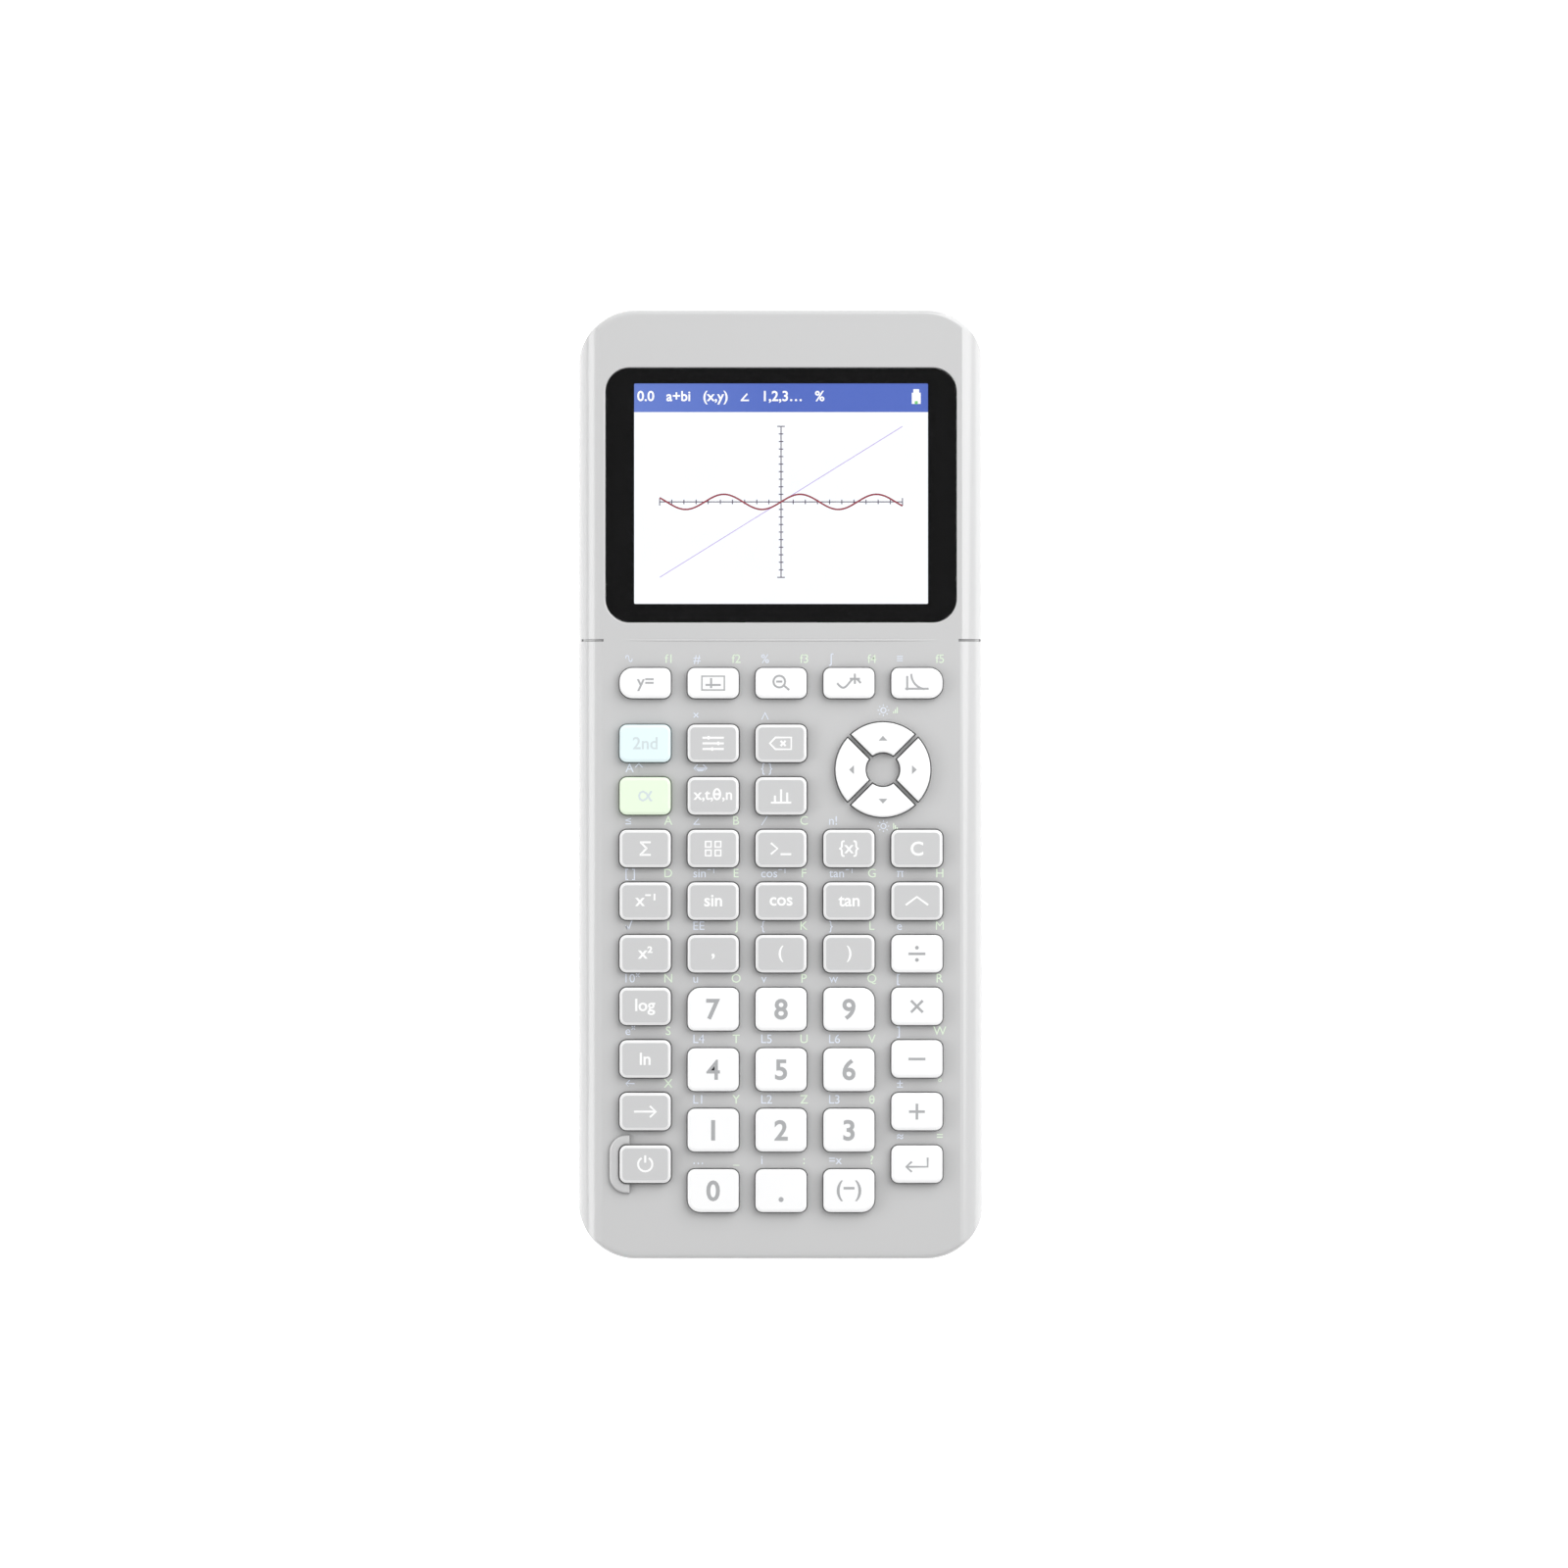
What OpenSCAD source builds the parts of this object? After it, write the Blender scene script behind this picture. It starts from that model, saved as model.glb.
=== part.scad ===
// Graphing calculator: two shells, a colour display and fifty sprung keys round one circuit board.
// It lies on its back. +X is to the right, +Y points to the display end and +Z leaves the keys.
// z = 0 is the table under the feet, and the origin is in the middle of the outline. Millimetres.

/* [Body] */
// Width of the shells
body_w = 79.5; // [79:0.5:100]
// Length of the shells
body_l = 186; // [184:1:230]
// Radius of the outline's corners
corner_r = 11.4; // [9:0.1:14]
// Height of the key face over the table
face_z = 14.8; // [14.8:0.1:20]
// Height of the parting line over the table
split_z = 9; // [8.9:0.1:9.4]
// Thickness of the side walls
wall = 2; // [1.8:0.1:2.4]
// Thickness of the key face
face_t = 1.8; // [1.5:0.1:2.1]
// Thickness of the rear shell's floor
floor_t = 1.6; // [1.4:0.1:2]
// Edge radius along the two short ends of the face
face_edge_r = 1; // [0.6:0.1:1.2]
// Edge radius round the rear face
rear_edge_r = 2; // [1:0.1:2.4]
// Width of each rounded long side beside the display, out from the crease in the face
screen_side_w = 4.3; // [3.6:0.1:5]
// Width of each rounded long side beside the keypad
keypad_side_w = 4.7; // [3.6:0.1:5]
// Radius of the rounded long sides
side_r = 5.7; // [5.2:0.1:5.8]

/* [Shell details] */
// Height of the rear shell's locating lip
lip_h = 1.2; // [0.8:0.1:1.6]
// Thickness of the locating lip
lip_t = 0.8; // [0.6:0.05:0.9]
// Clearance round the locating lip
lip_gap = 0.1; // [0.05:0.05:0.2]
// Width of the seam across each long side
seam_w = 0.5; // [0.3:0.1:0.8]
// Depth of that seam
seam_d = 0.4; // [0.2:0.1:0.6]
// Length of the thin bead across the face under the display
bead_l = 62.4; // [50:0.2:66]
// Height of the bead
bead_h = 0.12; // [0.05:0.01:0.2]
// Height of the slide-cover groove in each long side
rail_h = 1.4; // [1:0.1:1.6]
// Depth of the slide-cover groove
rail_d = 0.9; // [0.5:0.1:1]
// Distance from the parting line down to the groove
rail_drop = 0.7; // [0.5:0.1:1]

/* [Display] */
// Width of the window pane
window_w = 68.8; // [57:0.1:69.5]
// Height of the window pane
window_h = 49.9; // [46:0.1:52]
// Thickness of the window pane
window_t = 1; // [0.8:0.05:1.15]
// Corner radius of the window pane
window_r = 4.7; // [3:0.1:6]
// Distance from the top end to the window pane
window_top = 11.4; // [11:0.1:13]
// Radius of the edge round the window pane
window_edge_r = 0.2; // [0.1:0.05:0.3]
// Depth of the window pane below the face
window_sink = 0.15; // [0:0.05:0.2]
// Width of the picture area
picture_w = 57.6; // [48:0.1:60]
// Height of the picture area
picture_h = 43.2; // [36:0.1:44]
// Upward offset of the picture area in the window
picture_rise = 0.3; // [0:0.1:1]
// Width of the metal frame on each side of the picture area
frame_side = 4.4; // [3:0.1:5]
// Width of the metal frame above and below the picture area
frame_end = 3.2; // [2:0.1:3.3]
// Thickness of the display module
display_t = 2.5; // [2:0.1:2.6]

/* [Keypad] */
// Distance between key columns
col_pitch = 13.3; // [12.5:0.05:13.4]
// Distance between function rows
row_pitch = 10.3; // [9.8:0.05:10.4]
// Distance between digit rows
digit_pitch = 11.85; // [10.8:0.05:12]
// Width of every key
key_w = 9.85; // [8:0.05:11.85]
// Height of the top row's keys
top_key_h = 5.8; // [4.8:0.05:7]
// Height of the function keys
key_h = 7.2; // [6:0.05:8.7]
// Height of the digit keys
digit_key_h = 8.25; // [6.8:0.05:9.9]
// Corner radius of the keys
key_r = 1.3; // [0.8:0.05:1.8]
// Corner radius where a key's corner is broad
key_broad_r = 2.4; // [1.6:0.05:2.8]
// Radius of the edge round a key's top
key_edge_r = 0.35; // [0.2:0.05:0.35]
// Distance from the bottom end to the bottom digit row
digits_bottom = 13.4; // [12.5:0.1:16]
// Distance from the bottom end to the bottom function row
functions_bottom = 18.6; // [17.5:0.1:22]
// Distance from the second row up to the top row
top_row_rise = 11.8; // [11:0.1:13]
// Height of the key tops over the face
key_rise = 1.5; // [1.1:0.1:2.2]
// Travel of every key
key_travel = 0.8; // [0.4:0.05:1]
// Clearance between a key and its hole
key_gap = 0.2; // [0.12:0.01:0.3]
// Width of the flange that keeps a key in its hole
flange_w = 0.6; // [0.4:0.05:0.7]
// Thickness of the flange
flange_t = 0.8; // [0.6:0.05:0.9]
// Wall of the hollow keys
key_wall = 1.1; // [0.8:0.05:1.4]
// Diameter of the post under each key
post_d = 3.2; // [2.4:0.1:3.6]

/* [Arrow keys] */
// Outer radius of the ring of arrow keys
arrow_r = 9.3; // [7.5:0.1:10]
// Inner radius of the ring of arrow keys
arrow_inner_r = 3.4; // [2.8:0.1:4]
// Gap between neighbouring arrow keys
arrow_split = 1; // [0.9:0.05:1.4]

/* [Guard of the power key] */
// Width of the guard beside the power key
guard_w = 2.1; // [1.4:0.1:2.6]
// Height of the guard over the face
guard_h = 0.8; // [0.4:0.1:1.2]
// Length of the guard's two arms along the key
guard_arm = 1.9; // [1:0.1:4]

/* [Inside] */
// Thickness of the circuit board
board_t = 1.2; // [0.8:0.1:1.4]
// Gap round the circuit board
board_gap = 0.5; // [0.3:0.1:1]
// Height of the circuit board's top over the parting line
board_rise = 0.6; // [0.4:0.1:0.7]
// Thickness of the rubber key mat
mat_t = 0.8; // [0.5:0.05:0.9]
// Margin of the key mat round its domes
mat_margin = 0.8; // [0.5:0.1:1.2]
// Foot diameter of a dome
dome_d = 5; // [4:0.1:5.4]
// Top diameter of a dome
dome_top_d = 3.2; // [2.4:0.1:3.6]

/* [Battery] */
// Width of the battery pack
battery_w = 40; // [32:0.5:48]
// Length of the battery pack
battery_l = 50; // [40:0.5:60]
// Thickness of the battery pack
battery_t = 5; // [4:0.1:5.1]
// Clearance round the battery pack
battery_gap = 0.5; // [0.3:0.1:0.8]
// Distance from the bottom end to the middle of the battery pack
battery_up = 88; // [80:1:94]
// Thickness of the battery cover
cover_t = 1.4; // [1:0.1:1.4]
// Width of the ledge that the battery cover rests on
cover_ledge = 1.5; // [1.4:0.1:2]
// Corner radius of the battery cover
cover_r = 3; // [2:0.1:4]
// Clearance round the battery cover
cover_gap = 0.2; // [0.12:0.01:0.3]
// Radius of the rounded heel that the battery cover swings on
heel_r = 2; // [1.8:0.1:2.2]
// Diameter of the heel's two pins
heel_pin_d = 1.6; // [1.2:0.1:1.8]
// Length of the heel's two pins
heel_pin_l = 1.2; // [0.8:0.1:1.4]
// Width of the thumb scoop beside the battery cover
scoop_w = 9; // [6:0.5:12]
// Depth of the thumb scoop
scoop_d = 0.9; // [0.6:0.1:1]

/* [Fasteners and feet] */
// Diameter of the screws' shanks
screw_d = 2; // [1.6:0.1:2.2]
// Diameter of the screws' heads
screw_head_d = 3.8; // [3.2:0.1:4]
// Height of the screws' heads
screw_head_h = 1.4; // [1:0.1:1.8]
// Depth of the screw heads below the rear face
screw_sink = 1; // [0.4:0.1:1.4]
// Diameter of the front shell's screw posts
front_post_d = 5; // [4.2:0.1:5.2]
// Diameter of the rear shell's screw posts
rear_post_d = 6.2; // [5.6:0.1:6.6]
// Distance from the long sides to the middle screws
side_screw_in = 4.2; // [4:0.1:4.6]
// Distance from the long sides to the end screws
end_screw_in_x = 9.2; // [9:0.1:12]
// Distance from the ends to the end screws
end_screw_in_y = 7.4; // [6.8:0.1:7.5]
// Diameter of the rubber feet
foot_d = 9; // [7:0.5:11]
// Height of the feet below the rear face
foot_h = 0.6; // [0.6:0.1:1]
// Depth of the feet's sockets
foot_socket = 0.8; // [0.5:0.1:1]
// Distance from the long sides to the middle of a foot
foot_in_x = 10.8; // [9:0.1:13]
// Distance from the ends to the middle of a foot
foot_in_y = 19; // [17:0.5:24]

/* [Ports] */
// Distance from the top end to the data socket
socket_down = 31; // [26:1:40]
// Width of the data socket's shell
socket_w = 7.7; // [7:0.1:8]
// Height of the data socket's shell
socket_h = 3.9; // [3.6:0.1:4]
// Length of the data socket's shell
socket_l = 9.2; // [8:0.1:10]
// Depth of the data socket's mouth in the side wall
socket_sink = 0.5; // [0.2:0.1:1]
// Diameter of the charge light
light_d = 1.6; // [1.2:0.1:2]
// Distance between the data socket and the charge light
light_off = 9; // [8:0.5:12]

/* [Hidden] */
$fn = 64;
cut = 1;                                  // how far a cutting shape runs past the surface
nest = 0.2;                               // clearance of parts that lie loose in a pocket
seat = 0.1;                               // clearance of parts that are clamped or glued in a pocket
ceiling_z = face_z - face_t;              // underside of the key face
half_w = body_w / 2;
half_l = body_l / 2;
hole_gap = 0.3;                           // clearance of a screw shank in its hole, on the diameter

// Heights of the stack under the keys
flange_top = ceiling_z - seat;
flange_low = flange_top - flange_t;
dome_top = flange_low - 0.05;
key_top = face_z + key_rise;
board_top = split_z + board_rise;
board_low = board_top - board_t;
mat_top = board_top + mat_t;
key_roof = face_z - 0.2;                  // roof of the hollow under a key

// Rows and columns
second_row_y = -half_l + functions_bottom + 8 * row_pitch;
top_row_y = second_row_y + top_row_rise;
function column_x(column) = (column - 3) * col_pitch;
function function_row_y(row) = second_row_y - (row - 2) * row_pitch;
function digit_row_y(row) = -half_l + digits_bottom + (10 - row) * digit_pitch;
arrow_x = 1.5 * col_pitch;
arrow_y = second_row_y - row_pitch / 2;
arrow_mid_r = (arrow_r + arrow_inner_r) / 2;

// A key is [name, column, row, kind], and its kind gives its height and its four corner radii,
// which run from the top left corner clockwise. Arrow keys are [name, angle].
small = key_r;
broad = key_broad_r;
CAP_KEYS = [
    ["key_function", 1, 1, "top left"],
    ["key_window", 2, 1, "top"],
    ["key_zoom", 3, 1, "top"],
    ["key_trace", 4, 1, "top"],
    ["key_graph", 5, 1, "top right"],
    ["key_second", 1, 2, "second"],
    ["key_mode", 2, 2, "plain"],
    ["key_delete", 3, 2, "plain"],
    ["key_alpha", 1, 3, "alpha"],
    ["key_unknown", 2, 3, "plain"],
    ["key_statistics", 3, 3, "plain"],
    ["key_math", 1, 4, "plain"],
    ["key_apps", 2, 4, "plain"],
    ["key_program", 3, 4, "plain"],
    ["key_variables", 4, 4, "plain"],
    ["key_clear", 5, 4, "plain"],
    ["key_reciprocal", 1, 5, "plain"],
    ["key_sine", 2, 5, "plain"],
    ["key_cosine", 3, 5, "plain"],
    ["key_tangent", 4, 5, "plain"],
    ["key_power_of", 5, 5, "plain"],
    ["key_square", 1, 6, "plain"],
    ["key_comma", 2, 6, "plain"],
    ["key_bracket_open", 3, 6, "plain"],
    ["key_bracket_close", 4, 6, "plain"],
    ["key_divide", 5, 6, "operator"],
    ["key_log", 1, 7, "plain"],
    ["key_7", 2, 7, "digit top left"],
    ["key_8", 3, 7, "digit"],
    ["key_9", 4, 7, "digit top right"],
    ["key_multiply", 5, 7, "operator"],
    ["key_ln", 1, 8, "plain"],
    ["key_4", 2, 8, "digit"],
    ["key_5", 3, 8, "digit"],
    ["key_6", 4, 8, "digit"],
    ["key_subtract", 5, 8, "operator"],
    ["key_store", 1, 9, "plain"],
    ["key_1", 2, 9, "digit"],
    ["key_2", 3, 9, "digit"],
    ["key_3", 4, 9, "digit"],
    ["key_add", 5, 9, "operator"],
    ["key_on", 1, 10, "plain"],
    ["key_0", 2, 10, "digit bottom left"],
    ["key_point", 3, 10, "digit"],
    ["key_negative", 4, 10, "digit bottom right"],
    ["key_enter", 5, 10, "operator"],
];
ARROW_KEYS = [["key_right", 0], ["key_up", 90], ["key_left", 180], ["key_down", 270]];
// A kind is [name, height, corner radii, colour].
KINDS = [
    ["plain", key_h, [small, small, small, small], "silver"],
    ["operator", key_h, [small, small, small, small], "white"],
    ["second", key_h, [small, small, small, small], "lightcyan"],
    ["alpha", key_h, [small, small, small, small], "honeydew"],
    ["top", top_key_h, [small, small, small, small], "white"],
    ["top left", top_key_h, [broad, small, small, broad], "white"],
    ["top right", top_key_h, [small, broad, broad, small], "white"],
    ["digit", digit_key_h, [small, small, small, small], "white"],
    ["digit top left", digit_key_h, [broad, small, small, small], "white"],
    ["digit top right", digit_key_h, [small, broad, small, small], "white"],
    ["digit bottom left", digit_key_h, [small, small, small, broad], "white"],
    ["digit bottom right", digit_key_h, [small, small, broad, small], "white"],
];
function kind(key) = KINDS[search([key[3]], KINDS)[0]];
function is_digit(key) = len(search("d", key[3])) > 0 && key[3][0] == "d";
function key_y(key) =
    key[2] == 1 ? top_row_y : is_digit(key) ? digit_row_y(key[2]) : function_row_y(key[2]);
function key_at(key) = [column_x(key[1]), key_y(key)];
function grown(radii, by) = [for (r = radii) r + by];
power_key = CAP_KEYS[search(["key_on"], CAP_KEYS)[0]];

// Display and window
seam_lift = 1;                            // seam over the middle between window and top row
seam_over = 0.3;                          // how far each side's seam runs on into the flat face
bead_r = 0.3;                             // radius of the bead across the face
window_y = half_l - window_top - window_h / 2;
picture_y = window_y + picture_rise;
display_w = picture_w + 2 * frame_side;
display_l = picture_h + 2 * frame_end;
display_top = ceiling_z - seat;
display_low = display_top - display_t;
opening_margin = 1.5;                     // from the picture area to the opening behind the window
pocket_wall = 0.8;                        // rib that locates the display
pocket_lift = 0.4;                        // from the display's underside up to the rib's
display_glass_t = 0.9;
display_glass_in = 1;                     // margin of the glass on the metal frame
tail = [14, 6, 0.25];                     // flat cable that leaves the display's lower end
window_low = face_z - window_sink - window_t;
seam_y = (window_y - window_h / 2 + top_row_y + top_key_h / 2) / 2 + seam_lift;

// Battery bay. Its cover runs from the ledge at the lower end to the far side of the heel.
bay_w = battery_w + 2 * battery_gap;
bay_l = battery_l + 2 * battery_gap;
battery_y = -half_l + battery_up;
cover_top = foot_h + cover_t;
battery_low = cover_top + nest;
bay_top = battery_low + battery_t + nest;
bay_roof_t = 0.9;                         // roof between the bay and the circuit board
bay_wall = 1.8;                           // wall of the bay outside the cover
cover_w = bay_w + 2 * cover_ledge;
cover_low_y = battery_y - bay_l / 2 - cover_ledge;
heel_y = battery_y + bay_l / 2 + cover_gap + heel_r;
heel_z = foot_h + heel_r;
cover_l = heel_y - cover_low_y;           // flat part, up to the line over the heel's axis
snap_w = 12;                              // rib that clips behind the ledge at the cover's lower end
snap_t = 1;
snap_h = 1.6;
contact_pitch = 5;                        // three slots for the battery's contacts
contact_slot = [2.4, 1.2, 2.6];
contact_blade = [1.2, 0.6, 2.2];
contact_window = [15, 3];
scoop_r = (scoop_w * scoop_w / 4 + scoop_d * scoop_d) / (2 * scoop_d);

// Screws: two beside the display's lower edge and four at the corners
SCREWS = [
    for (side = [-1, 1]) [side * (half_w - side_screw_in), seam_y],
    for (side = [-1, 1], end = [-1, 1]) [side * (half_w - end_screw_in_x), end * (half_l - end_screw_in_y)],
];
counterbore_z = foot_h + screw_sink + screw_head_h;
screw_tip = ceiling_z - 0.6;              // blind hole, so the screw stops short of the face
cross_l = 2.2;                            // cross slot in the screws' heads
cross_w = 0.5;
cross_d = 0.8;
foot_bevel = 0.4;
FEET = [for (side = [-1, 1], end = [-1, 1]) [side * (half_w - foot_in_x), end * (half_l - foot_in_y)]];

// Ports on the right side wall
socket_y = half_l - socket_down;
socket_z = board_low - socket_h / 2;
light_z = socket_z;
light_y = socket_y - light_off;
reset_d = 1.8;                            // pin hole over the reset switch
reset_at = [0, seam_y + 7];
switch_size = [3.6, 3.6, 1.8];
socket_shell = 0.4;                       // sheet of the data socket
// Parts soldered under the board: [x, y over the seam, width, length, height]
CHIPS = [
    [0, 36, 14, 14, 1.4],
    [-19.5, 38, 11, 8, 1.1],
    [16, 38, 8, 6, 1],
    [-21.5, 18, 5, 5, 2.2],
    [13, 18, 6, 5, 1.6],
];
board_plug = [16, 3.6, 0.6];              // plug for the display's tail, on top of the board

// ---- Outlines ----
// Corner radii are listed from the top left corner clockwise.

// Rectangle without its corners, which leaves a place for a round at each.
module cornerless_rect(w, h, radii, inset = 0) {
    x = w / 2;
    y = h / 2;
    inner_x = x - inset;
    inner_y = y - inset;
    polygon([
        [-x + radii[0], y - radii[0]], [-x + radii[0], inner_y],
        [x - radii[1], inner_y], [x - radii[1], y - radii[1]], [inner_x, y - radii[1]],
        [inner_x, -y + radii[2]], [x - radii[2], -y + radii[2]], [x - radii[2], -inner_y],
        [-x + radii[3], -inner_y], [-x + radii[3], -y + radii[3]], [-inner_x, -y + radii[3]],
        [-inner_x, y - radii[0]],
    ]);
}

// Moves to the centre of corner number i and turns it into a first quadrant.
module at_corner(i, w, h, radii) {
    x = (w / 2 - radii[i]) * (i == 0 || i == 3 ? -1 : 1);
    y = (h / 2 - radii[i]) * (i < 2 ? 1 : -1);
    translate([x, y]) rotate(90 - 90 * i) children();
}

module quarter_disc(r) intersection() {
    circle(r);
    square(r + cut);
}

module corner_rect(w, h, radii) {
    cornerless_rect(w, h, radii);
    for (i = [0:3]) at_corner(i, w, h, radii) quarter_disc(radii[i]);
}

module round_rect(w, h, r) corner_rect(w, h, [r, r, r, r]);

module body_outline(inset = 0)
    round_rect(body_w - 2 * inset, body_l - 2 * inset, corner_r - inset);

// Cross-section of a slab's rim, with its upper edge rounded.
module rim_section(reach, h, edge) {
    square([reach - edge, h]);
    translate([reach - edge, 0]) square([edge, h - edge]);
    translate([reach - edge, h - edge]) quarter_disc(edge);
}

// Slab with rounded corners whose upper edge is rounded all round.
module soft_slab(w, l, radii, h, edge) {
    rim = 2 * edge;
    linear_extrude(h) cornerless_rect(w, l, radii, rim);
    for (i = [0:3]) {
        out = i % 2 == 0 ? l / 2 : w / 2;
        half_side = i % 2 == 0 ? w / 2 : l / 2;
        at_corner(i, w, l, radii) rotate_extrude(angle = 90) rim_section(radii[i], h, edge);
        rotate(90 - 90 * i) translate([out - rim, half_side - radii[i], 0]) rotate([90, 0, 0])
            linear_extrude(2 * half_side - radii[i] - radii[(i + 1) % 4]) rim_section(rim, h, edge);
    }
}

module body_slab(h, edge)
    soft_slab(body_w, body_l, [corner_r, corner_r, corner_r, corner_r], h, edge);

// Cross-section of the front shell: a flat face with a shallow crease where each side rounds off.
// side_w is the width of the rounded side, and inset moves the section inwards.
module front_section(side_w, inset = 0) {
    middle_x = half_w - side_r;
    middle_z = face_z - sqrt(side_r * side_r - (side_r - side_w) * (side_r - side_w));
    low = split_z - cut;
    r = side_r - inset;
    intersection() {
        union() {
            translate([-middle_x, low]) square([2 * middle_x, face_z - low]);
            for (side = [-1, 1]) translate([side * middle_x, middle_z]) circle(r);
            translate([-middle_x - r, low]) square([2 * (middle_x + r), middle_z - low]);
        }
        translate([-half_w, low]) square([body_w, face_z - inset - low]);
    }
}

// The front section run along Y from one place to another.
module front_run(side_w, from_y, to_y, inset = 0)
    translate([0, to_y, 0]) rotate([90, 0, 0]) linear_extrude(to_y - from_y) front_section(side_w, inset);

// ---- Keys ----

module cap_outline(key, by = 0)
    corner_rect(key_w + 2 * by, kind(key)[1] + 2 * by, grown(kind(key)[2], by));

// One arrow key's outline, pointing along +X; outwards and across move its arcs and its straight sides.
module arrow_outline(outwards = 0, across = 0) {
    apex = (arrow_split / 2 - across) * sqrt(2);
    far = 2 * arrow_r;
    intersection() {
        difference() {
            circle(arrow_r + outwards);
            circle(arrow_inner_r - outwards);
        }
        polygon([[apex, 0], [far, far - apex], [far, apex - far]]);
    }
}

module cap_key(key)
    translate(key_at(key)) color(kind(key)[3]) {
        difference() {
            union() {
                translate([0, 0, flange_low])
                    soft_slab(key_w, kind(key)[1], kind(key)[2], key_top - flange_low, key_edge_r);
                translate([0, 0, flange_low]) linear_extrude(flange_t) cap_outline(key, flange_w);
            }
            translate([0, 0, flange_low - cut])
                linear_extrude(key_roof - flange_low + cut) cap_outline(key, -key_wall);
        }
        translate([0, 0, flange_low]) cylinder(d = post_d, h = key_top - flange_low - key_rise / 2);
    }

module arrow_key(key)
    translate([arrow_x, arrow_y]) rotate(key[1]) color("white") {
        translate([0, 0, flange_low]) linear_extrude(key_top - flange_low) arrow_outline();
        translate([0, 0, flange_low]) linear_extrude(flange_t) arrow_outline(flange_w);
    }

module key_holes() {
    for (key = CAP_KEYS) translate(key_at(key)) cap_outline(key, key_gap);
    translate([arrow_x, arrow_y]) for (key = ARROW_KEYS) rotate(key[1]) arrow_outline(key_gap, key_gap);
}

// Middle of every key, where its dome pushes
KEY_CENTRES = concat(
    [for (key = CAP_KEYS) key_at(key)],
    [for (key = ARROW_KEYS) [arrow_x + arrow_mid_r * cos(key[1]), arrow_y + arrow_mid_r * sin(key[1])]]
);

// ---- Front shell ----

// Raised C that keeps the power key from being pressed by accident.
module power_guard() {
    h = kind(power_key)[1];
    root = face_t / 2;
    translate(concat(key_at(power_key), [face_z - root])) linear_extrude(guard_h + root)
        difference() {
            intersection() {
                round_rect(key_w + 2 * guard_w, h + 2 * guard_w, key_r + guard_w);
                translate([-key_w / 2 - guard_w, -h]) square([guard_w + guard_arm, 2 * h]);
            }
            cap_outline(power_key, key_gap);
        }
}

module face_bead() {
    translate([-bead_l / 2, seam_y, face_z + bead_h - bead_r]) rotate([0, 90, 0])
        cylinder(r = bead_r, h = bead_l);
}

// Seam across both rounded sides, where the display part meets the keypad part.
module side_seams() {
    reach = max(screen_side_w, keypad_side_w) + seam_over;
    difference() {
        for (side = [-1, 1])
            translate([side * (half_w - reach / 2 + cut / 2), seam_y, face_z / 2 + split_z / 2])
                cube([reach + cut, seam_w, face_z], center = true);
        front_run(keypad_side_w, seam_y - seam_w, seam_y + seam_w, seam_d);
    }
}

module front_case() color("gainsboro") {
    front_h = face_z - split_z;
    difference() {
        union() {
            intersection() {
                translate([0, 0, split_z]) body_slab(front_h, face_edge_r);
                union() {
                    front_run(keypad_side_w, -half_l, seam_y);
                    front_run(screen_side_w, seam_y, half_l);
                }
            }
            power_guard();
            face_bead();
        }
        translate([0, 0, split_z - cut]) linear_extrude(ceiling_z - split_z + cut) body_outline(wall);
        translate([0, 0, split_z - cut])
            linear_extrude(lip_h + lip_gap + cut) body_outline(wall - lip_t - lip_gap);
        translate([0, 0, ceiling_z - cut]) linear_extrude(face_t + guard_h + 2 * cut) key_holes();
        translate([0, window_y, window_low])
            linear_extrude(face_t + cut) round_rect(window_w, window_h, window_r);
        translate([0, picture_y, ceiling_z - cut])
            linear_extrude(face_t + cut)
                round_rect(picture_w + 2 * opening_margin, picture_h + 2 * opening_margin, opening_margin);
        side_seams();
    }
    for (at = SCREWS) translate([at[0], at[1], board_top]) difference() {
        cylinder(d = front_post_d, h = ceiling_z - board_top + cut / 2);
        translate([0, 0, -cut]) cylinder(d = screw_d + seat, h = screw_tip - board_top + cut + seat);
    }
    display_rib();
}

// Rib under the face that locates the display module.
module display_rib() {
    pocket = [display_w + 2 * seat, display_l + 2 * seat];
    outside = [pocket[0] + 2 * pocket_wall, pocket[1] + 2 * pocket_wall];
    rib_low = display_low + pocket_lift;
    translate([0, picture_y, rib_low]) linear_extrude(ceiling_z - rib_low + cut / 2)
        difference() {
            square(outside, center = true);
            square(pocket, center = true);
        }
}

// ---- Rear shell ----

module rear_case() color("gainsboro") {
    block = [cover_w + 2 * bay_wall, cover_l + heel_r + 2 * bay_wall, bay_top + bay_roof_t - foot_h];
    head_bore_d = screw_head_d + 2 * nest;
    difference() {
        union() {
            difference() {
                translate([0, 0, split_z]) mirror([0, 0, 1]) body_slab(split_z - foot_h, rear_edge_r);
                translate([0, 0, foot_h + floor_t]) linear_extrude(split_z) body_outline(wall);
            }
            locating_lip();
            for (at = SCREWS) translate([at[0], at[1], foot_h + cut / 2])
                cylinder(d = rear_post_d, h = board_low - foot_h - cut / 2);
            translate([-block[0] / 2, cover_low_y - bay_wall, foot_h]) cube(block);
        }
        battery_bay();
        for (at = SCREWS) translate([at[0], at[1], 0]) {
            translate([0, 0, foot_h - cut]) cylinder(d = head_bore_d, h = counterbore_z - foot_h + cut);
            cylinder(d = screw_d + hole_gap, h = split_z + cut);
        }
        for (at = FEET) translate([at[0], at[1], foot_h - cut])
            cylinder(d = foot_d + seat, h = foot_socket + cut);
        cover_grooves();
        port_cutouts();
    }
}

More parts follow.
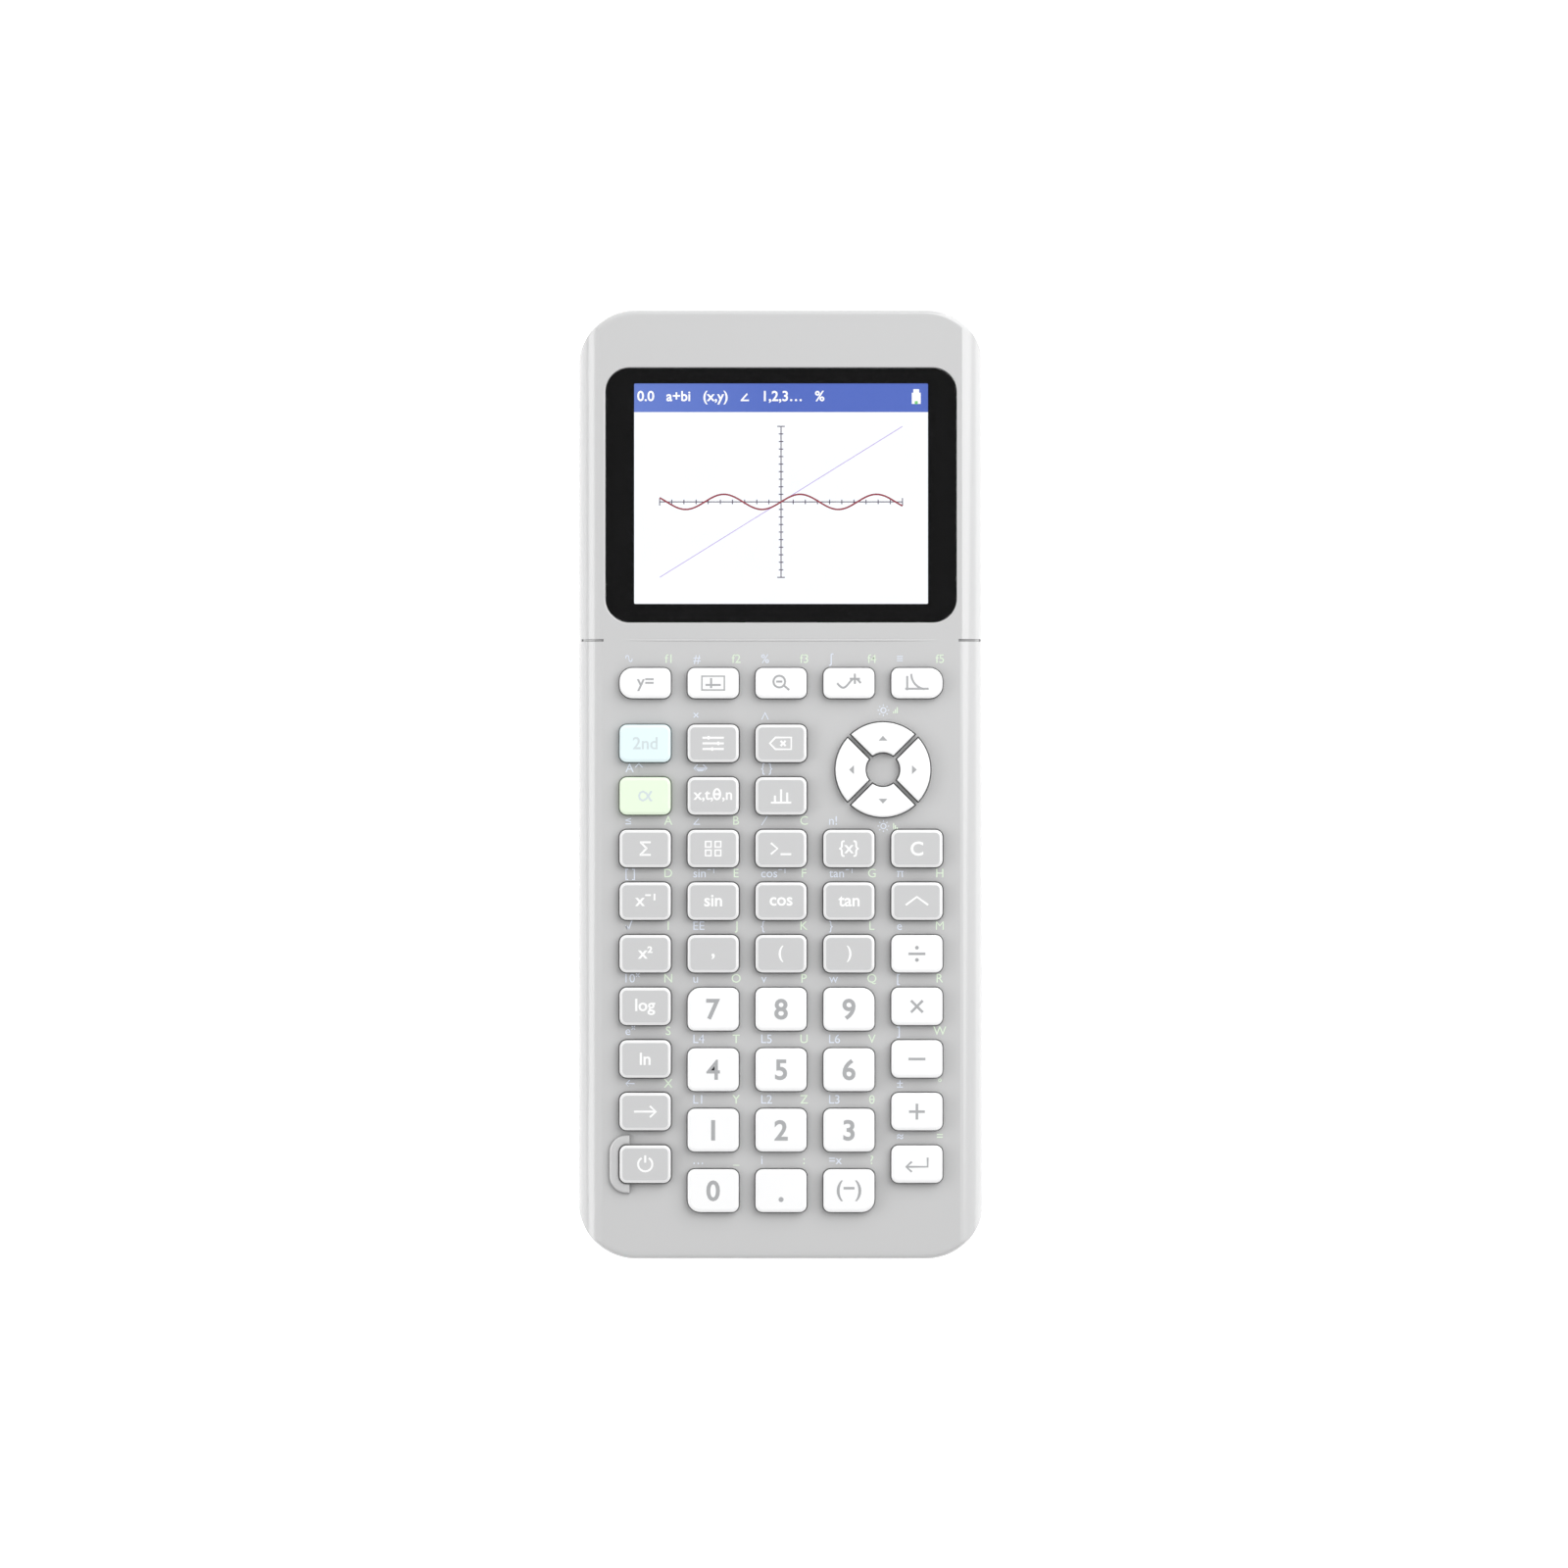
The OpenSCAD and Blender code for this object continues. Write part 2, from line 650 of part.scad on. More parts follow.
// Everything hollow round the battery: its bay, the cover's recess, the heel's seat and the scoop.
module battery_bay() {
    recess_w = cover_w + 2 * cover_gap;
    bore_r = heel_r + cover_gap;
    pin_reach = recess_w / 2 + heel_pin_l;
    snap_room = snap_t + seat + nest;
    bay_low_y = battery_y - bay_l / 2;
    translate([-bay_w / 2, bay_low_y, cover_top - cut]) cube([bay_w, bay_l, bay_top - cover_top + cut]);
    translate([0, 0, foot_h - cut]) linear_extrude(cover_t + seat + cut) cover_plan(cover_gap);
    translate([-recess_w / 2, heel_y - bore_r, foot_h - cut]) cube([recess_w, 2 * bore_r, heel_r + cut]);
    translate([-recess_w / 2, heel_y, heel_z]) rotate([0, 90, 0]) cylinder(r = bore_r, h = recess_w);
    translate([-pin_reach, heel_y, heel_z]) rotate([0, 90, 0])
        cylinder(d = heel_pin_d + nest, h = 2 * pin_reach);
    translate([-snap_w / 2 - nest, bay_low_y - snap_room, cover_top - cut])
        cube([snap_w + 2 * nest, snap_room + cut, snap_h + nest + cut]);
    translate([-contact_window[0] / 2, bay_low_y, bay_top - cut])
        cube([contact_window[0], contact_window[1], bay_roof_t + 2 * cut]);
    translate([0, cover_low_y, foot_h + scoop_d - scoop_r]) sphere(scoop_r);
}

// The battery cover's plan up to its heel, grown by a clearance.
module cover_plan(by = 0) {
    low = cover_low_y - by;
    high = heel_y;
    corner = cover_r + by;
    half = cover_w / 2 + by;
    polygon([
        [-half, high], [half, high], [half, low + corner], [half - corner, low + corner],
        [half - corner, low], [-half + corner, low], [-half + corner, low + corner], [-half, low + corner],
    ]);
    for (side = [0, 1]) mirror([side, 0])
        translate([half - corner, low + corner]) rotate(-90) quarter_disc(corner);
}

// Lip that locates the front shell, with the posts' places left free.
module locating_lip()
    translate([0, 0, split_z - cut]) difference() {
        linear_extrude(lip_h + cut) difference() {
            body_outline(wall - lip_t);
            body_outline(wall);
        }
        for (at = SCREWS) translate([at[0], at[1], cut])
            cylinder(d = front_post_d + 2 * nest, h = lip_h + cut);
    }

module cover_grooves() {
    low_y = -half_l - cut;
    middle = [half_w - rail_d / 2 + cut / 2, (low_y + seam_y) / 2, split_z - rail_drop - rail_h / 2];
    for (side = [-1, 1]) translate([side * middle[0], middle[1], middle[2]])
        cube([rail_d + cut, seam_y - low_y, rail_h], center = true);
}

module port_cutouts() {
    translate([half_w - wall / 2, socket_y, socket_z])
        cube([wall + 2 * cut, socket_w + 2 * nest, socket_h + 2 * nest], center = true);
    translate([half_w - wall - cut, light_y, light_z]) rotate([0, 90, 0])
        cylinder(d = light_d + seat, h = wall + 2 * cut);
    translate([reset_at[0], reset_at[1], foot_h - cut]) cylinder(d = reset_d, h = floor_t + 2 * cut);
}

// ---- Window, display, mat, board ----

module screen_window() color([0.1, 0.1, 0.1]) {
    r = window_r - seat;
    translate([0, window_y, window_low])
        soft_slab(window_w - 2 * seat, window_h - 2 * seat, [r, r, r, r], window_t, window_edge_r);
}

module display_module() color("lightsteelblue") translate([0, picture_y, display_low]) {
    glass = [display_w - 2 * display_glass_in, display_l - 2 * display_glass_in];
    translate([-display_w / 2, -display_l / 2, 0]) cube([display_w, display_l, display_t - display_glass_t]);
    translate([-glass[0] / 2, -glass[1] / 2, 0]) cube([glass[0], glass[1], display_t]);
    translate([-tail[0] / 2, -display_l / 2 - tail[1], 0]) cube([tail[0], tail[1] + cut, tail[2]]);
}

module key_mat() color("whitesmoke") {
    xs = [for (at = KEY_CENTRES) at[0]];
    ys = [for (at = KEY_CENTRES) at[1]];
    reach = dome_d / 2 + mat_margin;
    size = [max(xs) - min(xs) + 2 * reach, max(ys) - min(ys) + 2 * reach, mat_t];
    difference() {
        translate([min(xs) - reach, min(ys) - reach, board_top]) cube(size);
        for (at = SCREWS) translate([at[0], at[1], board_top - cut])
            cylinder(d = front_post_d + 2 * nest, h = mat_t + 2 * cut);
    }
    for (at = KEY_CENTRES) translate([at[0], at[1], mat_top - mat_t / 2])
        cylinder(d1 = dome_d, d2 = dome_top_d, h = dome_top - mat_top + mat_t / 2);
}

// A soldered part under the board, centred on x and y.
module under_board(x, y, size)
    translate([x - size[0] / 2, y - size[1] / 2, board_low - size[2]])
        cube([size[0], size[1], size[2] + board_t / 2]);

module circuit_board() color("seagreen") {
    difference() {
        translate([0, 0, board_low]) linear_extrude(board_t) body_outline(wall + board_gap);
        for (at = SCREWS) translate([at[0], at[1], board_low - cut])
            cylinder(d = screw_d + hole_gap, h = board_t + 2 * cut);
    }
    for (chip = CHIPS) under_board(chip[0], seam_y + chip[1], [chip[2], chip[3], chip[4]]);
    under_board(reset_at[0], reset_at[1], switch_size);
    translate([-board_plug[0] / 2, seam_y - board_plug[1] / 2, board_top - board_t / 2])
        cube([board_plug[0], board_plug[1], board_plug[2] + board_t / 2]);
    contact_blades();
    data_socket();
    charge_light();
}

// Three blades reach through the bay's roof into the battery's contact slots.
module contact_blades()
    for (i = [-1:1])
        under_board(i * contact_pitch, battery_y - battery_l / 2 + contact_slot[1] / 2, contact_blade);

module data_socket() {
    inside = [socket_l, socket_w - 2 * socket_shell, socket_h - 2 * socket_shell];
    back_x = half_w - socket_sink - socket_l;
    difference() {
        translate([back_x, socket_y - socket_w / 2, board_low - socket_h])
            cube([socket_l, socket_w, socket_h + seat]);
        translate([back_x + socket_shell, socket_y - inside[1] / 2, socket_z - inside[2] / 2]) cube(inside);
    }
    translate([back_x + socket_shell / 2, socket_y - socket_w / 4, socket_z - inside[2] / 6])
        cube([socket_l - 2, socket_w / 2, inside[2] / 3]);
}

module charge_light() {
    block = 2 * light_d;
    board_edge = half_w - wall - board_gap;
    under_board(board_edge - block / 2, light_y, [block, block, board_low - light_z + light_d / 2]);
    translate([board_edge - block / 2, light_y, light_z]) rotate([0, 90, 0])
        cylinder(d = light_d, h = half_w - nest - board_edge + block / 2);
}

// ---- Battery ----

module battery_pack() color("dimgray")
    translate([0, battery_y - battery_l / 2, battery_low]) difference() {
        translate([-battery_w / 2, 0, 0]) cube([battery_w, battery_l, battery_t]);
        for (i = [-1:1])
            translate([i * contact_pitch - contact_slot[0] / 2, -cut, battery_t - contact_slot[2]])
                cube([contact_slot[0], contact_slot[1] + cut, contact_slot[2] + cut]);
    }

module battery_cover() color("gainsboro") {
    translate([0, 0, foot_h]) linear_extrude(cover_t) cover_plan();
    translate([-cover_w / 2, heel_y, heel_z]) rotate([0, 90, 0]) cylinder(r = heel_r, h = cover_w);
    pin_reach = cover_w / 2 + cover_gap + heel_pin_l - nest;
    translate([-pin_reach, heel_y, heel_z]) rotate([0, 90, 0]) cylinder(d = heel_pin_d, h = 2 * pin_reach);
    translate([-snap_w / 2, battery_y - bay_l / 2 - snap_t - seat, cover_top - cut])
        cube([snap_w, snap_t, snap_h + cut]);
}

// ---- Fasteners and feet ----

module case_screws() color("dimgray") for (at = SCREWS) translate([at[0], at[1], 0]) {
    head_low = counterbore_z - screw_head_h;
    difference() {
        translate([0, 0, head_low]) cylinder(d = screw_head_d, h = screw_head_h);
        for (turn = [0, 90]) rotate(turn)
            translate([-cross_l / 2, -cross_w / 2, head_low - cut]) cube([cross_l, cross_w, cross_d + cut]);
    }
    shank_low = counterbore_z - screw_head_h / 2;
    translate([0, 0, shank_low]) cylinder(d = screw_d, h = screw_tip - shank_low);
}

module rubber_feet() color("gray") for (at = FEET) translate([at[0], at[1], 0]) {
    cylinder(d1 = foot_d - 2 * foot_bevel, d2 = foot_d, h = foot_h / 2);
    translate([0, 0, foot_h / 2]) cylinder(d = foot_d, h = foot_h / 2 + foot_socket);
}

front_case();
rear_case();
screen_window();
display_module();
key_mat();
circuit_board();
battery_pack();
battery_cover();
case_screws();
rubber_feet();
for (key = CAP_KEYS) cap_key(key);
for (key = ARROW_KEYS) arrow_key(key);
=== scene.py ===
"""Looks of a slim graphing calculator that lies on its back.

Metres, +Y to the display end, +Z out of the keys. Sizes below are in millimetres.
"""

import math

import bmesh
import bpy
from mathutils import Matrix, Vector


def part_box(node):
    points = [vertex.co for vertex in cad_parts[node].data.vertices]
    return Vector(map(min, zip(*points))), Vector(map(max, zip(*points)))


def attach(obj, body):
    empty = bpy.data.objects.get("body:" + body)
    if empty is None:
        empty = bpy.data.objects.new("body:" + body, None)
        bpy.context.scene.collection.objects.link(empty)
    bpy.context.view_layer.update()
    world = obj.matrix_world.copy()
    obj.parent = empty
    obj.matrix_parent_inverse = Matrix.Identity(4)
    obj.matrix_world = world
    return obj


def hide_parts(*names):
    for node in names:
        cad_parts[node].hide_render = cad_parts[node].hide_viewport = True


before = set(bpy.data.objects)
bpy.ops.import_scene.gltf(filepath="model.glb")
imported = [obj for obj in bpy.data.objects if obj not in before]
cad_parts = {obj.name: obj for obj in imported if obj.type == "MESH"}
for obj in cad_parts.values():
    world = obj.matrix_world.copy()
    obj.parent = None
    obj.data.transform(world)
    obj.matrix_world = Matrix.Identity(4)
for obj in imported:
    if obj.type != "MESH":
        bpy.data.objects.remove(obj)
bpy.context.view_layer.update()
MM = 0.001
ROOT = "calculator"

# ---- Sizes, from the frame where it has them ----
case_low, case_high = (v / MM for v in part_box("front_case"))
window_low, window_high = (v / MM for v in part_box("screen_window"))
HALF_W = case_high.x
HALF_L = case_high.y
SHELL_GAP = 0.06       # the line that shows between the two shells
SHELL_LOW = case_low.z + SHELL_GAP
WINDOW_SINK = 0.15
WINDOW_GAP = 0.1
WINDOW_R = 4.7
WINDOW_EDGE_R = 0.2
FACE_Z = window_high.z + WINDOW_SINK
FACE_T = 1.8
CEILING_Z = FACE_Z - FACE_T
CORNER_R = 11.4
WALL = 2.0
EDGE_R = 1.0
SIDE_R = 5.7
SCREEN_SIDE_W = 4.3
KEYPAD_SIDE_W = 4.7
SEAM_W = 0.5
SEAM_D = 0.4
SEAM_OVER = 0.3
KEY_GAP = 0.2
FLANGE_W = 0.6
FLANGE_T = 0.8
KEY_R = 1.3
KEY_BROAD_R = 2.4
ARROW_INNER_R = 3.4
ARROW_SPLIT = 1.0
ARROW_LIP = 0.08        # rounding of the rim round an arrow key
GUARD_W = 2.1
GUARD_H = 0.8
GUARD_ARM = 1.9
GUARD_SEAT = 0.2       # how far the guard reaches into the shell
PICTURE_W = 57.6
PICTURE_H = 43.2
PICTURE_RISE = 0.3
BEAD_L = 62.4

CAP_KEYS = [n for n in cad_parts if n.startswith("key_")]
for other in ("key_mat", "key_up", "key_down", "key_left", "key_right"):
    CAP_KEYS.remove(other)
ARROW_KEYS = {"key_right": 0, "key_up": 90, "key_left": 180, "key_down": 270}
# Corners are numbered from the top left one clockwise.
BROAD_CORNERS = {
    "key_function": (0, 3),
    "key_graph": (1, 2),
    "key_7": (0,),
    "key_9": (1,),
    "key_0": (3,),
    "key_negative": (2,),
}
WHITE_KEYS = {
    "key_function", "key_window", "key_zoom", "key_trace", "key_graph", "key_divide", "key_multiply",
    "key_subtract", "key_add", "key_enter", "key_point", "key_negative",
} | {f"key_{n}" for n in range(10)}


def cap_of(name):
    """Centre, width, height, corner radii and top of a key cap, without its flange."""
    low, high = (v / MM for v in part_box(name))
    radii = [KEY_BROAD_R if i in BROAD_CORNERS.get(name, ()) else KEY_R for i in range(4)]
    size = high - low
    centre = (low + high) / 2
    return (centre.x, centre.y), size.x - 2 * FLANGE_W, size.y - 2 * FLANGE_W, radii, high.z


CAPS = {name: cap_of(name) for name in CAP_KEYS}
FUNCTION_TOP = CAPS["key_function"][0][1] + CAPS["key_function"][2] / 2
SEAM_RISE = 0.95       # above the middle between the window and the top row of keys
SEAM_Y = (window_low.y + FUNCTION_TOP) / 2 + SEAM_RISE
WINDOW_W, WINDOW_H = (window_high - window_low).xy
WINDOW_C = ((window_low.x + window_high.x) / 2, (window_low.y + window_high.y) / 2)
PICTURE_C = (0.0, WINDOW_C[1] + PICTURE_RISE)
ring_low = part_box("key_left")[0] / MM
ring_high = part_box("key_right")[1] / MM
ring_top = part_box("key_up")[1] / MM
ARROW_R = (ring_high.x - ring_low.x) / 2 - FLANGE_W
ARROW_C = ((ring_high.x + ring_low.x) / 2, ring_top.y - FLANGE_W - ARROW_R)
ARROW_TOP = ring_top.z

# ---- Finishes ----


class Finish:
    """A material under construction, with short ways to add and join its nodes."""

    def __init__(self, name):
        self.material = bpy.data.materials.new(name)
        self.material.use_nodes = True
        self.tree = self.material.node_tree
        self.shader = self.tree.nodes["Principled BSDF"]
        self.place = self.tree.nodes.new("ShaderNodeTexCoord")

    def set(self, **values):
        for socket, value in values.items():
            self.shader.inputs[socket.replace("_", " ")].default_value = value
        return self

    def noise(self, scale, detail=3.0, rough=0.55, stretch=(1, 1, 1)):
        mapping = self.tree.nodes.new("ShaderNodeMapping")
        mapping.inputs["Scale"].default_value = stretch
        noise = self.tree.nodes.new("ShaderNodeTexNoise")
        noise.inputs["Scale"].default_value = scale
        noise.inputs["Detail"].default_value = detail
        noise.inputs["Roughness"].default_value = rough
        self.tree.links.new(self.place.outputs["Object"], mapping.inputs["Vector"])
        self.tree.links.new(mapping.outputs["Vector"], noise.inputs["Vector"])
        return noise.outputs["Fac"]

    def spread(self, fac, low, high, start=0.3, end=0.7):
        """fac mapped to numbers from low to high."""
        node = self.tree.nodes.new("ShaderNodeMapRange")
        for socket, value in (("From Min", start), ("From Max", end), ("To Min", low), ("To Max", high)):
            node.inputs[socket].default_value = value
        self.tree.links.new(fac, node.inputs["Value"])
        return node.outputs["Result"]

    def ramp(self, fac, *stops):
        node = self.tree.nodes.new("ShaderNodeValToRGB")
        ramp = node.color_ramp
        for i, (at, colour) in enumerate(stops):
            stop = ramp.elements[i] if i < 2 else ramp.elements.new(at)
            stop.position = at
            stop.color = (*colour, 1)
        self.tree.links.new(fac, node.inputs["Fac"])
        return node.outputs["Color"]

    def tilted(self):
        """Painted highlight mask: 1 on faces tilted like a rounded edge, 0 on flat tops and upright sides."""
        split = self.tree.nodes.new("ShaderNodeSeparateXYZ")
        self.tree.links.new(self.place.outputs["Normal"], split.inputs["Vector"])
        black, white = (0, 0, 0), (1, 1, 1)
        return self.ramp(split.outputs["Z"], (0.1, black), (0.99, black), (0.4, white), (0.93, white))

    def crowded(self, reach_mm):
        """Painted shade mask: 1 close beside taller pieces, where their shade falls, 0 in the open."""
        node = self.tree.nodes.new("ShaderNodeAmbientOcclusion")
        node.samples = 8
        node.inputs["Distance"].default_value = reach_mm * MM
        return self.spread(node.outputs["AO"], 1, 0, 0.45, 0.97)

    def mix(self, fac, under, over):
        node = self.tree.nodes.new("ShaderNodeMix")
        node.data_type = "RGBA"
        self.tree.links.new(fac, node.inputs["Factor"])
        self.tree.links.new(under, node.inputs["A"])
        node.inputs["B"].default_value = (*over, 1)
        return next(out for out in node.outputs if out.type == "RGBA")

    def bump(self, height, strength, distance_mm, under=None):
        node = self.tree.nodes.new("ShaderNodeBump")
        node.inputs["Strength"].default_value = strength
        node.inputs["Distance"].default_value = distance_mm * MM
        self.tree.links.new(height, node.inputs["Height"])
        if under is not None:
            self.tree.links.new(under, node.inputs["Normal"])
        return node.outputs["Normal"]

    def join(self, output, socket):
        self.tree.links.new(output, self.shader.inputs[socket])
        return self


def near(colour, share):
    return tuple(min(1.0, c * share) for c in colour)


def plastic(name, colour, rough=0.3, grain=0.06, grain_scale=3800, coat=0.0, mottle=0.005, specular=0.5,
            edge=None, painted_shade=None):
    """Moulded plastic: fine spark texture, faint flow marks, a slightly uneven gloss, a painted highlight on
    rounded edges, painted shade beside taller pieces.
    """
    f = Finish(name).set(Coat_Weight=coat, Coat_Roughness=0.1, Specular_IOR_Level=specular)
    flow = f.noise(45, 4, stretch=(1, 0.35, 1))
    base = f.ramp(flow, (0.3, near(colour, 1 - mottle)), (0.7, near(colour, 1 + mottle)))
    # Painted highlight: a paler colour on rounded edges, where they catch the light.
    if edge:
        base = f.mix(f.tilted(), base, edge)
    # Painted shade: the colour darkens close beside taller pieces, where their shade falls.
    if painted_shade:
        base = f.mix(f.crowded(4), base, near(colour, painted_shade))
    f.join(base, "Base Color")
    f.join(f.spread(f.noise(260, 2), rough - 0.015, rough + 0.02, 0.2, 0.8), "Roughness")
    spark = f.bump(f.noise(grain_scale, 2), grain, 0.02)
    f.join(f.bump(flow, 0.05, 0.05, spark), "Normal")
    return f.material


def ink(name, colour, rough=0.45):
    """Screen-printed ink, a little uneven where it has run over the grain."""
    f = Finish(name)
    f.join(f.ramp(f.noise(900, 4), (0.3, near(colour, 0.97)), (0.7, near(colour, 1.02))), "Base Color")
    f.join(f.spread(f.noise(1800, 3), rough - 0.06, rough + 0.06), "Roughness")
    f.join(f.bump(f.noise(5200, 2), 0.1, 0.006), "Normal")
    return f.material


def rubber(name, colour):
    f = Finish(name).set(Specular_IOR_Level=0.3)
    f.join(f.ramp(f.noise(500, 6), (0.25, near(colour, 0.86)), (0.75, near(colour, 1.1))), "Base Color")
    f.join(f.spread(f.noise(700, 4), 0.68, 0.85), "Roughness")
    f.join(f.bump(f.noise(6000, 3), 0.35, 0.03), "Normal")
    return f.material


def metal(name, colour, rough, stretch=(1, 14, 1)):
    """Drawn or pressed sheet with fine lines along it."""
    f = Finish(name).set(Metallic=1.0)
    lines = f.noise(1600, 3, stretch=stretch)
    f.join(f.ramp(lines, (0.3, near(colour, 0.9)), (0.7, near(colour, 1.06))), "Base Color")
    f.join(f.spread(lines, rough - 0.06, rough + 0.08), "Roughness")
    f.join(f.bump(lines, 0.12, 0.01), "Normal")
    return f.material


def lit(name, colour, strength=1.0, fade=None):
    """A part of the lit picture, a little uneven, or fading along X from one colour to another."""
    f = Finish(name).set(Roughness=0.5, Specular_IOR_Level=0.2, Emission_Strength=strength)
    f.shader.inputs["Base Color"].default_value = (*near(colour, 0.06), 1)
    split = f.tree.nodes.new("ShaderNodeSeparateXYZ")
    f.tree.links.new(f.place.outputs["Object"], split.inputs["Vector"])
    if fade:
        across = f.spread(split.outputs["X"], 0, 1, fade[0] * MM, fade[1] * MM)
        glow = f.ramp(across, (0.0, fade[2]), (1.0, colour))
    else:
        glow = f.ramp(f.noise(70, 2), (0.3, near(colour, 0.985)), (0.7, near(colour, 1.01)))
    f.join(glow, "Emission Color")
    return f.material


CASE_GREY = (0.555, 0.556, 0.558)
# The front shell's colour has painted shade beside the keys.
case_gloss = plastic("case_gloss", CASE_GREY, rough=0.24, grain=0.03, coat=0.6, painted_shade=0.62)
case_back = plastic("case_back", (0.44, 0.442, 0.446), rough=0.42, grain=0.35, grain_scale=2400)
key_white = plastic("key_white", (0.905, 0.907, 0.91), rough=0.3, grain=0.04, coat=0.3, mottle=0.006)
# Grey keys get a painted highlight on their rounded edges.
key_grey = plastic("key_grey", (0.57, 0.572, 0.576), rough=0.3, grain=0.04, coat=0.3, edge=(0.9, 0.9, 0.9))
key_blue = plastic("key_pale_blue", (0.76, 0.89, 0.91), rough=0.3, grain=0.04, coat=0.3, mottle=0.006)
key_green = plastic("key_pale_green", (0.78, 0.9, 0.71), rough=0.3, grain=0.04, coat=0.3, mottle=0.006)
ink_grey = ink("ink_grey", (0.38, 0.385, 0.395))
ink_white = ink("ink_white", (0.9, 0.9, 0.9))
ink_blue = ink("ink_pale_blue", (0.66, 0.70, 0.78))
ink_green = ink("ink_pale_green", (0.66, 0.76, 0.62))
ink_faint = ink("ink_faint", (0.6, 0.68, 0.7))
window_mask = plastic("window_mask", (0.003, 0.003, 0.0035), rough=0.3, grain=0.02, coat=0.0, specular=0.06)
silicone = rubber("mat_silicone", (0.62, 0.62, 0.6))
foot_rubber = rubber("foot_rubber", (0.14, 0.14, 0.145))
screw_steel = metal("screw_steel", (0.17, 0.17, 0.18), 0.4, stretch=(1, 1, 6))
socket_steel = metal("socket_steel", (0.62, 0.62, 0.63), 0.28, stretch=(14, 1, 1))
frame_steel = metal("display_frame_metal", (0.6, 0.61, 0.63), 0.35)
contact_gold = metal("contact_gold", (0.83, 0.62, 0.26), 0.25)
chip_black = plastic("chip_black", (0.018, 0.018, 0.02), rough=0.5, grain=0.3)
wrap_black = plastic("battery_wrap", (0.03, 0.031, 0.034), rough=0.48, grain=0.4, grain_scale=1500)


def clear_pane():
    f = Finish("window_clear").set(Transmission_Weight=1.0, IOR=1.3, Base_Color=(0.985, 0.99, 0.99, 1))
    f.join(f.spread(f.noise(60, 2), 0.0, 0.015), "Roughness")
    f.join(f.bump(f.noise(25, 1), 0.02, 0.02), "Normal")
    return f.material


def board_laminate():
    """Solder mask over copper tracks and ground areas."""
    f = Finish("board_laminate").set(Specular_IOR_Level=0.5)
    cells = f.tree.nodes.new("ShaderNodeTexBrick")
    cells.inputs["Scale"].default_value = 420
    cells.inputs["Mortar Size"].default_value = 0.03
    f.tree.links.new(f.place.outputs["Object"], cells.inputs["Vector"])
    greens = {"Color1": (0.02, 0.16, 0.07), "Color2": (0.015, 0.12, 0.055), "Mortar": (0.03, 0.24, 0.1)}
    for socket, colour in greens.items():
        cells.inputs[socket].default_value = (*colour, 1)
    f.join(cells.outputs["Color"], "Base Color")
    f.join(f.spread(f.noise(300, 3), 0.28, 0.42), "Roughness")
    f.join(f.bump(cells.outputs["Fac"], 0.3, 0.03), "Normal")
    return f.material


def charge_light_finish():
    f = Finish("charge_light").set(Transmission_Weight=0.5, IOR=1.5, Subsurface_Weight=0.2)
    f.join(f.ramp(f.noise(800, 2), (0.3, (0.75, 0.42, 0.12)), (0.7, (0.85, 0.5, 0.16))), "Base Color")
    f.join(f.spread(f.noise(500, 2), 0.15, 0.3), "Roughness")
    return f.material


# ---- Mesh tools, in millimetres ----


def rounded_face(bm, centre, width, height, radii, z, segments=7):
    """A flat face with rounded corners, and its radii from the top left corner clockwise."""
    made = bmesh.ops.create_grid(bm, x_segments=1, y_segments=1, size=0.5)["verts"]
    place = Matrix.Translation((*centre, z)) @ Matrix.Diagonal((width, height, 1, 1))
    bmesh.ops.transform(bm, matrix=place, verts=made)
    anchor = made[0]
    signs = [(-1, 1), (1, 1), (1, -1), (-1, -1)]
    corners = [min(made, key=lambda v: -sx * v.co.x - sy * v.co.y) for sx, sy in signs]
    for corner, r in zip(corners, radii):
        if r > 0:
            cut = bmesh.ops.bevel(
                bm, geom=[corner], offset=r, segments=segments, profile=0.5, affect="VERTICES", material=-1
            )
            anchor = cut["verts"][0]
    face = anchor.link_faces[0]
    face.normal_update()
    if face.normal.z < 0:
        face.normal_flip()
    return face


def raise_face(bm, face, height):
    """Extrudes a face straight up or down and returns the face at the end."""
    made = bmesh.ops.extrude_face_region(bm, geom=[face, *face.edges])["geom"]
    verts = [g for g in made if isinstance(g, bmesh.types.BMVert)]
    bmesh.ops.translate(bm, vec=(0, 0, height), verts=verts)
    return next(g for g in made if isinstance(g, bmesh.types.BMFace))


def inset(bm, face, width, rise=0.0):
    bmesh.ops.inset_region(
        bm, faces=[face], thickness=width, depth=rise, use_even_offset=True, use_boundary=True
    )


def round_over(bm, face, width, depth, steps=4):
    """Insets a face in steps along a quarter ellipse: a soft edge that rises by depth over width."""
    for k in range(steps):
        a, b = (math.pi / 2 * (k + i) / steps for i in (0, 1))
        inset(bm, face, width * (math.cos(a) - math.cos(b)), depth * (math.sin(b) - math.sin(a)))
    return face


SHARP_FROM = 32        # degrees between two faces above which their edge looks sharp


def to_piece(name, bm, material, body=ROOT, replaces=(), weighted=True):
    """Turns a bmesh in millimetres into a finished piece on its body."""
    bmesh.ops.remove_doubles(bm, verts=bm.verts, dist=1e-5)
    bmesh.ops.recalc_face_normals(bm, faces=bm.faces)
    bmesh.ops.scale(bm, vec=(MM, MM, MM), verts=bm.verts)
    mesh = bpy.data.meshes.new(name)
    sharp = [e.index for e in bm.edges if not e.smooth]
    bm.to_mesh(mesh)
    bm.free()
    mesh.shade_smooth()
    mesh.set_sharp_from_angle(angle=math.radians(SHARP_FROM))
    for i in sharp:
        mesh.edges[i].use_edge_sharp = True
    mesh.materials.append(material)
    piece = bpy.data.objects.new(name, mesh)
    bpy.context.scene.collection.objects.link(piece)
    if weighted:
        even = piece.modifiers.new("even_shading", "WEIGHTED_NORMAL")
        even.keep_sharp = True
        even.weight = 80
    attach(piece, body)
    if replaces:
        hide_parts(*replaces)
    return piece


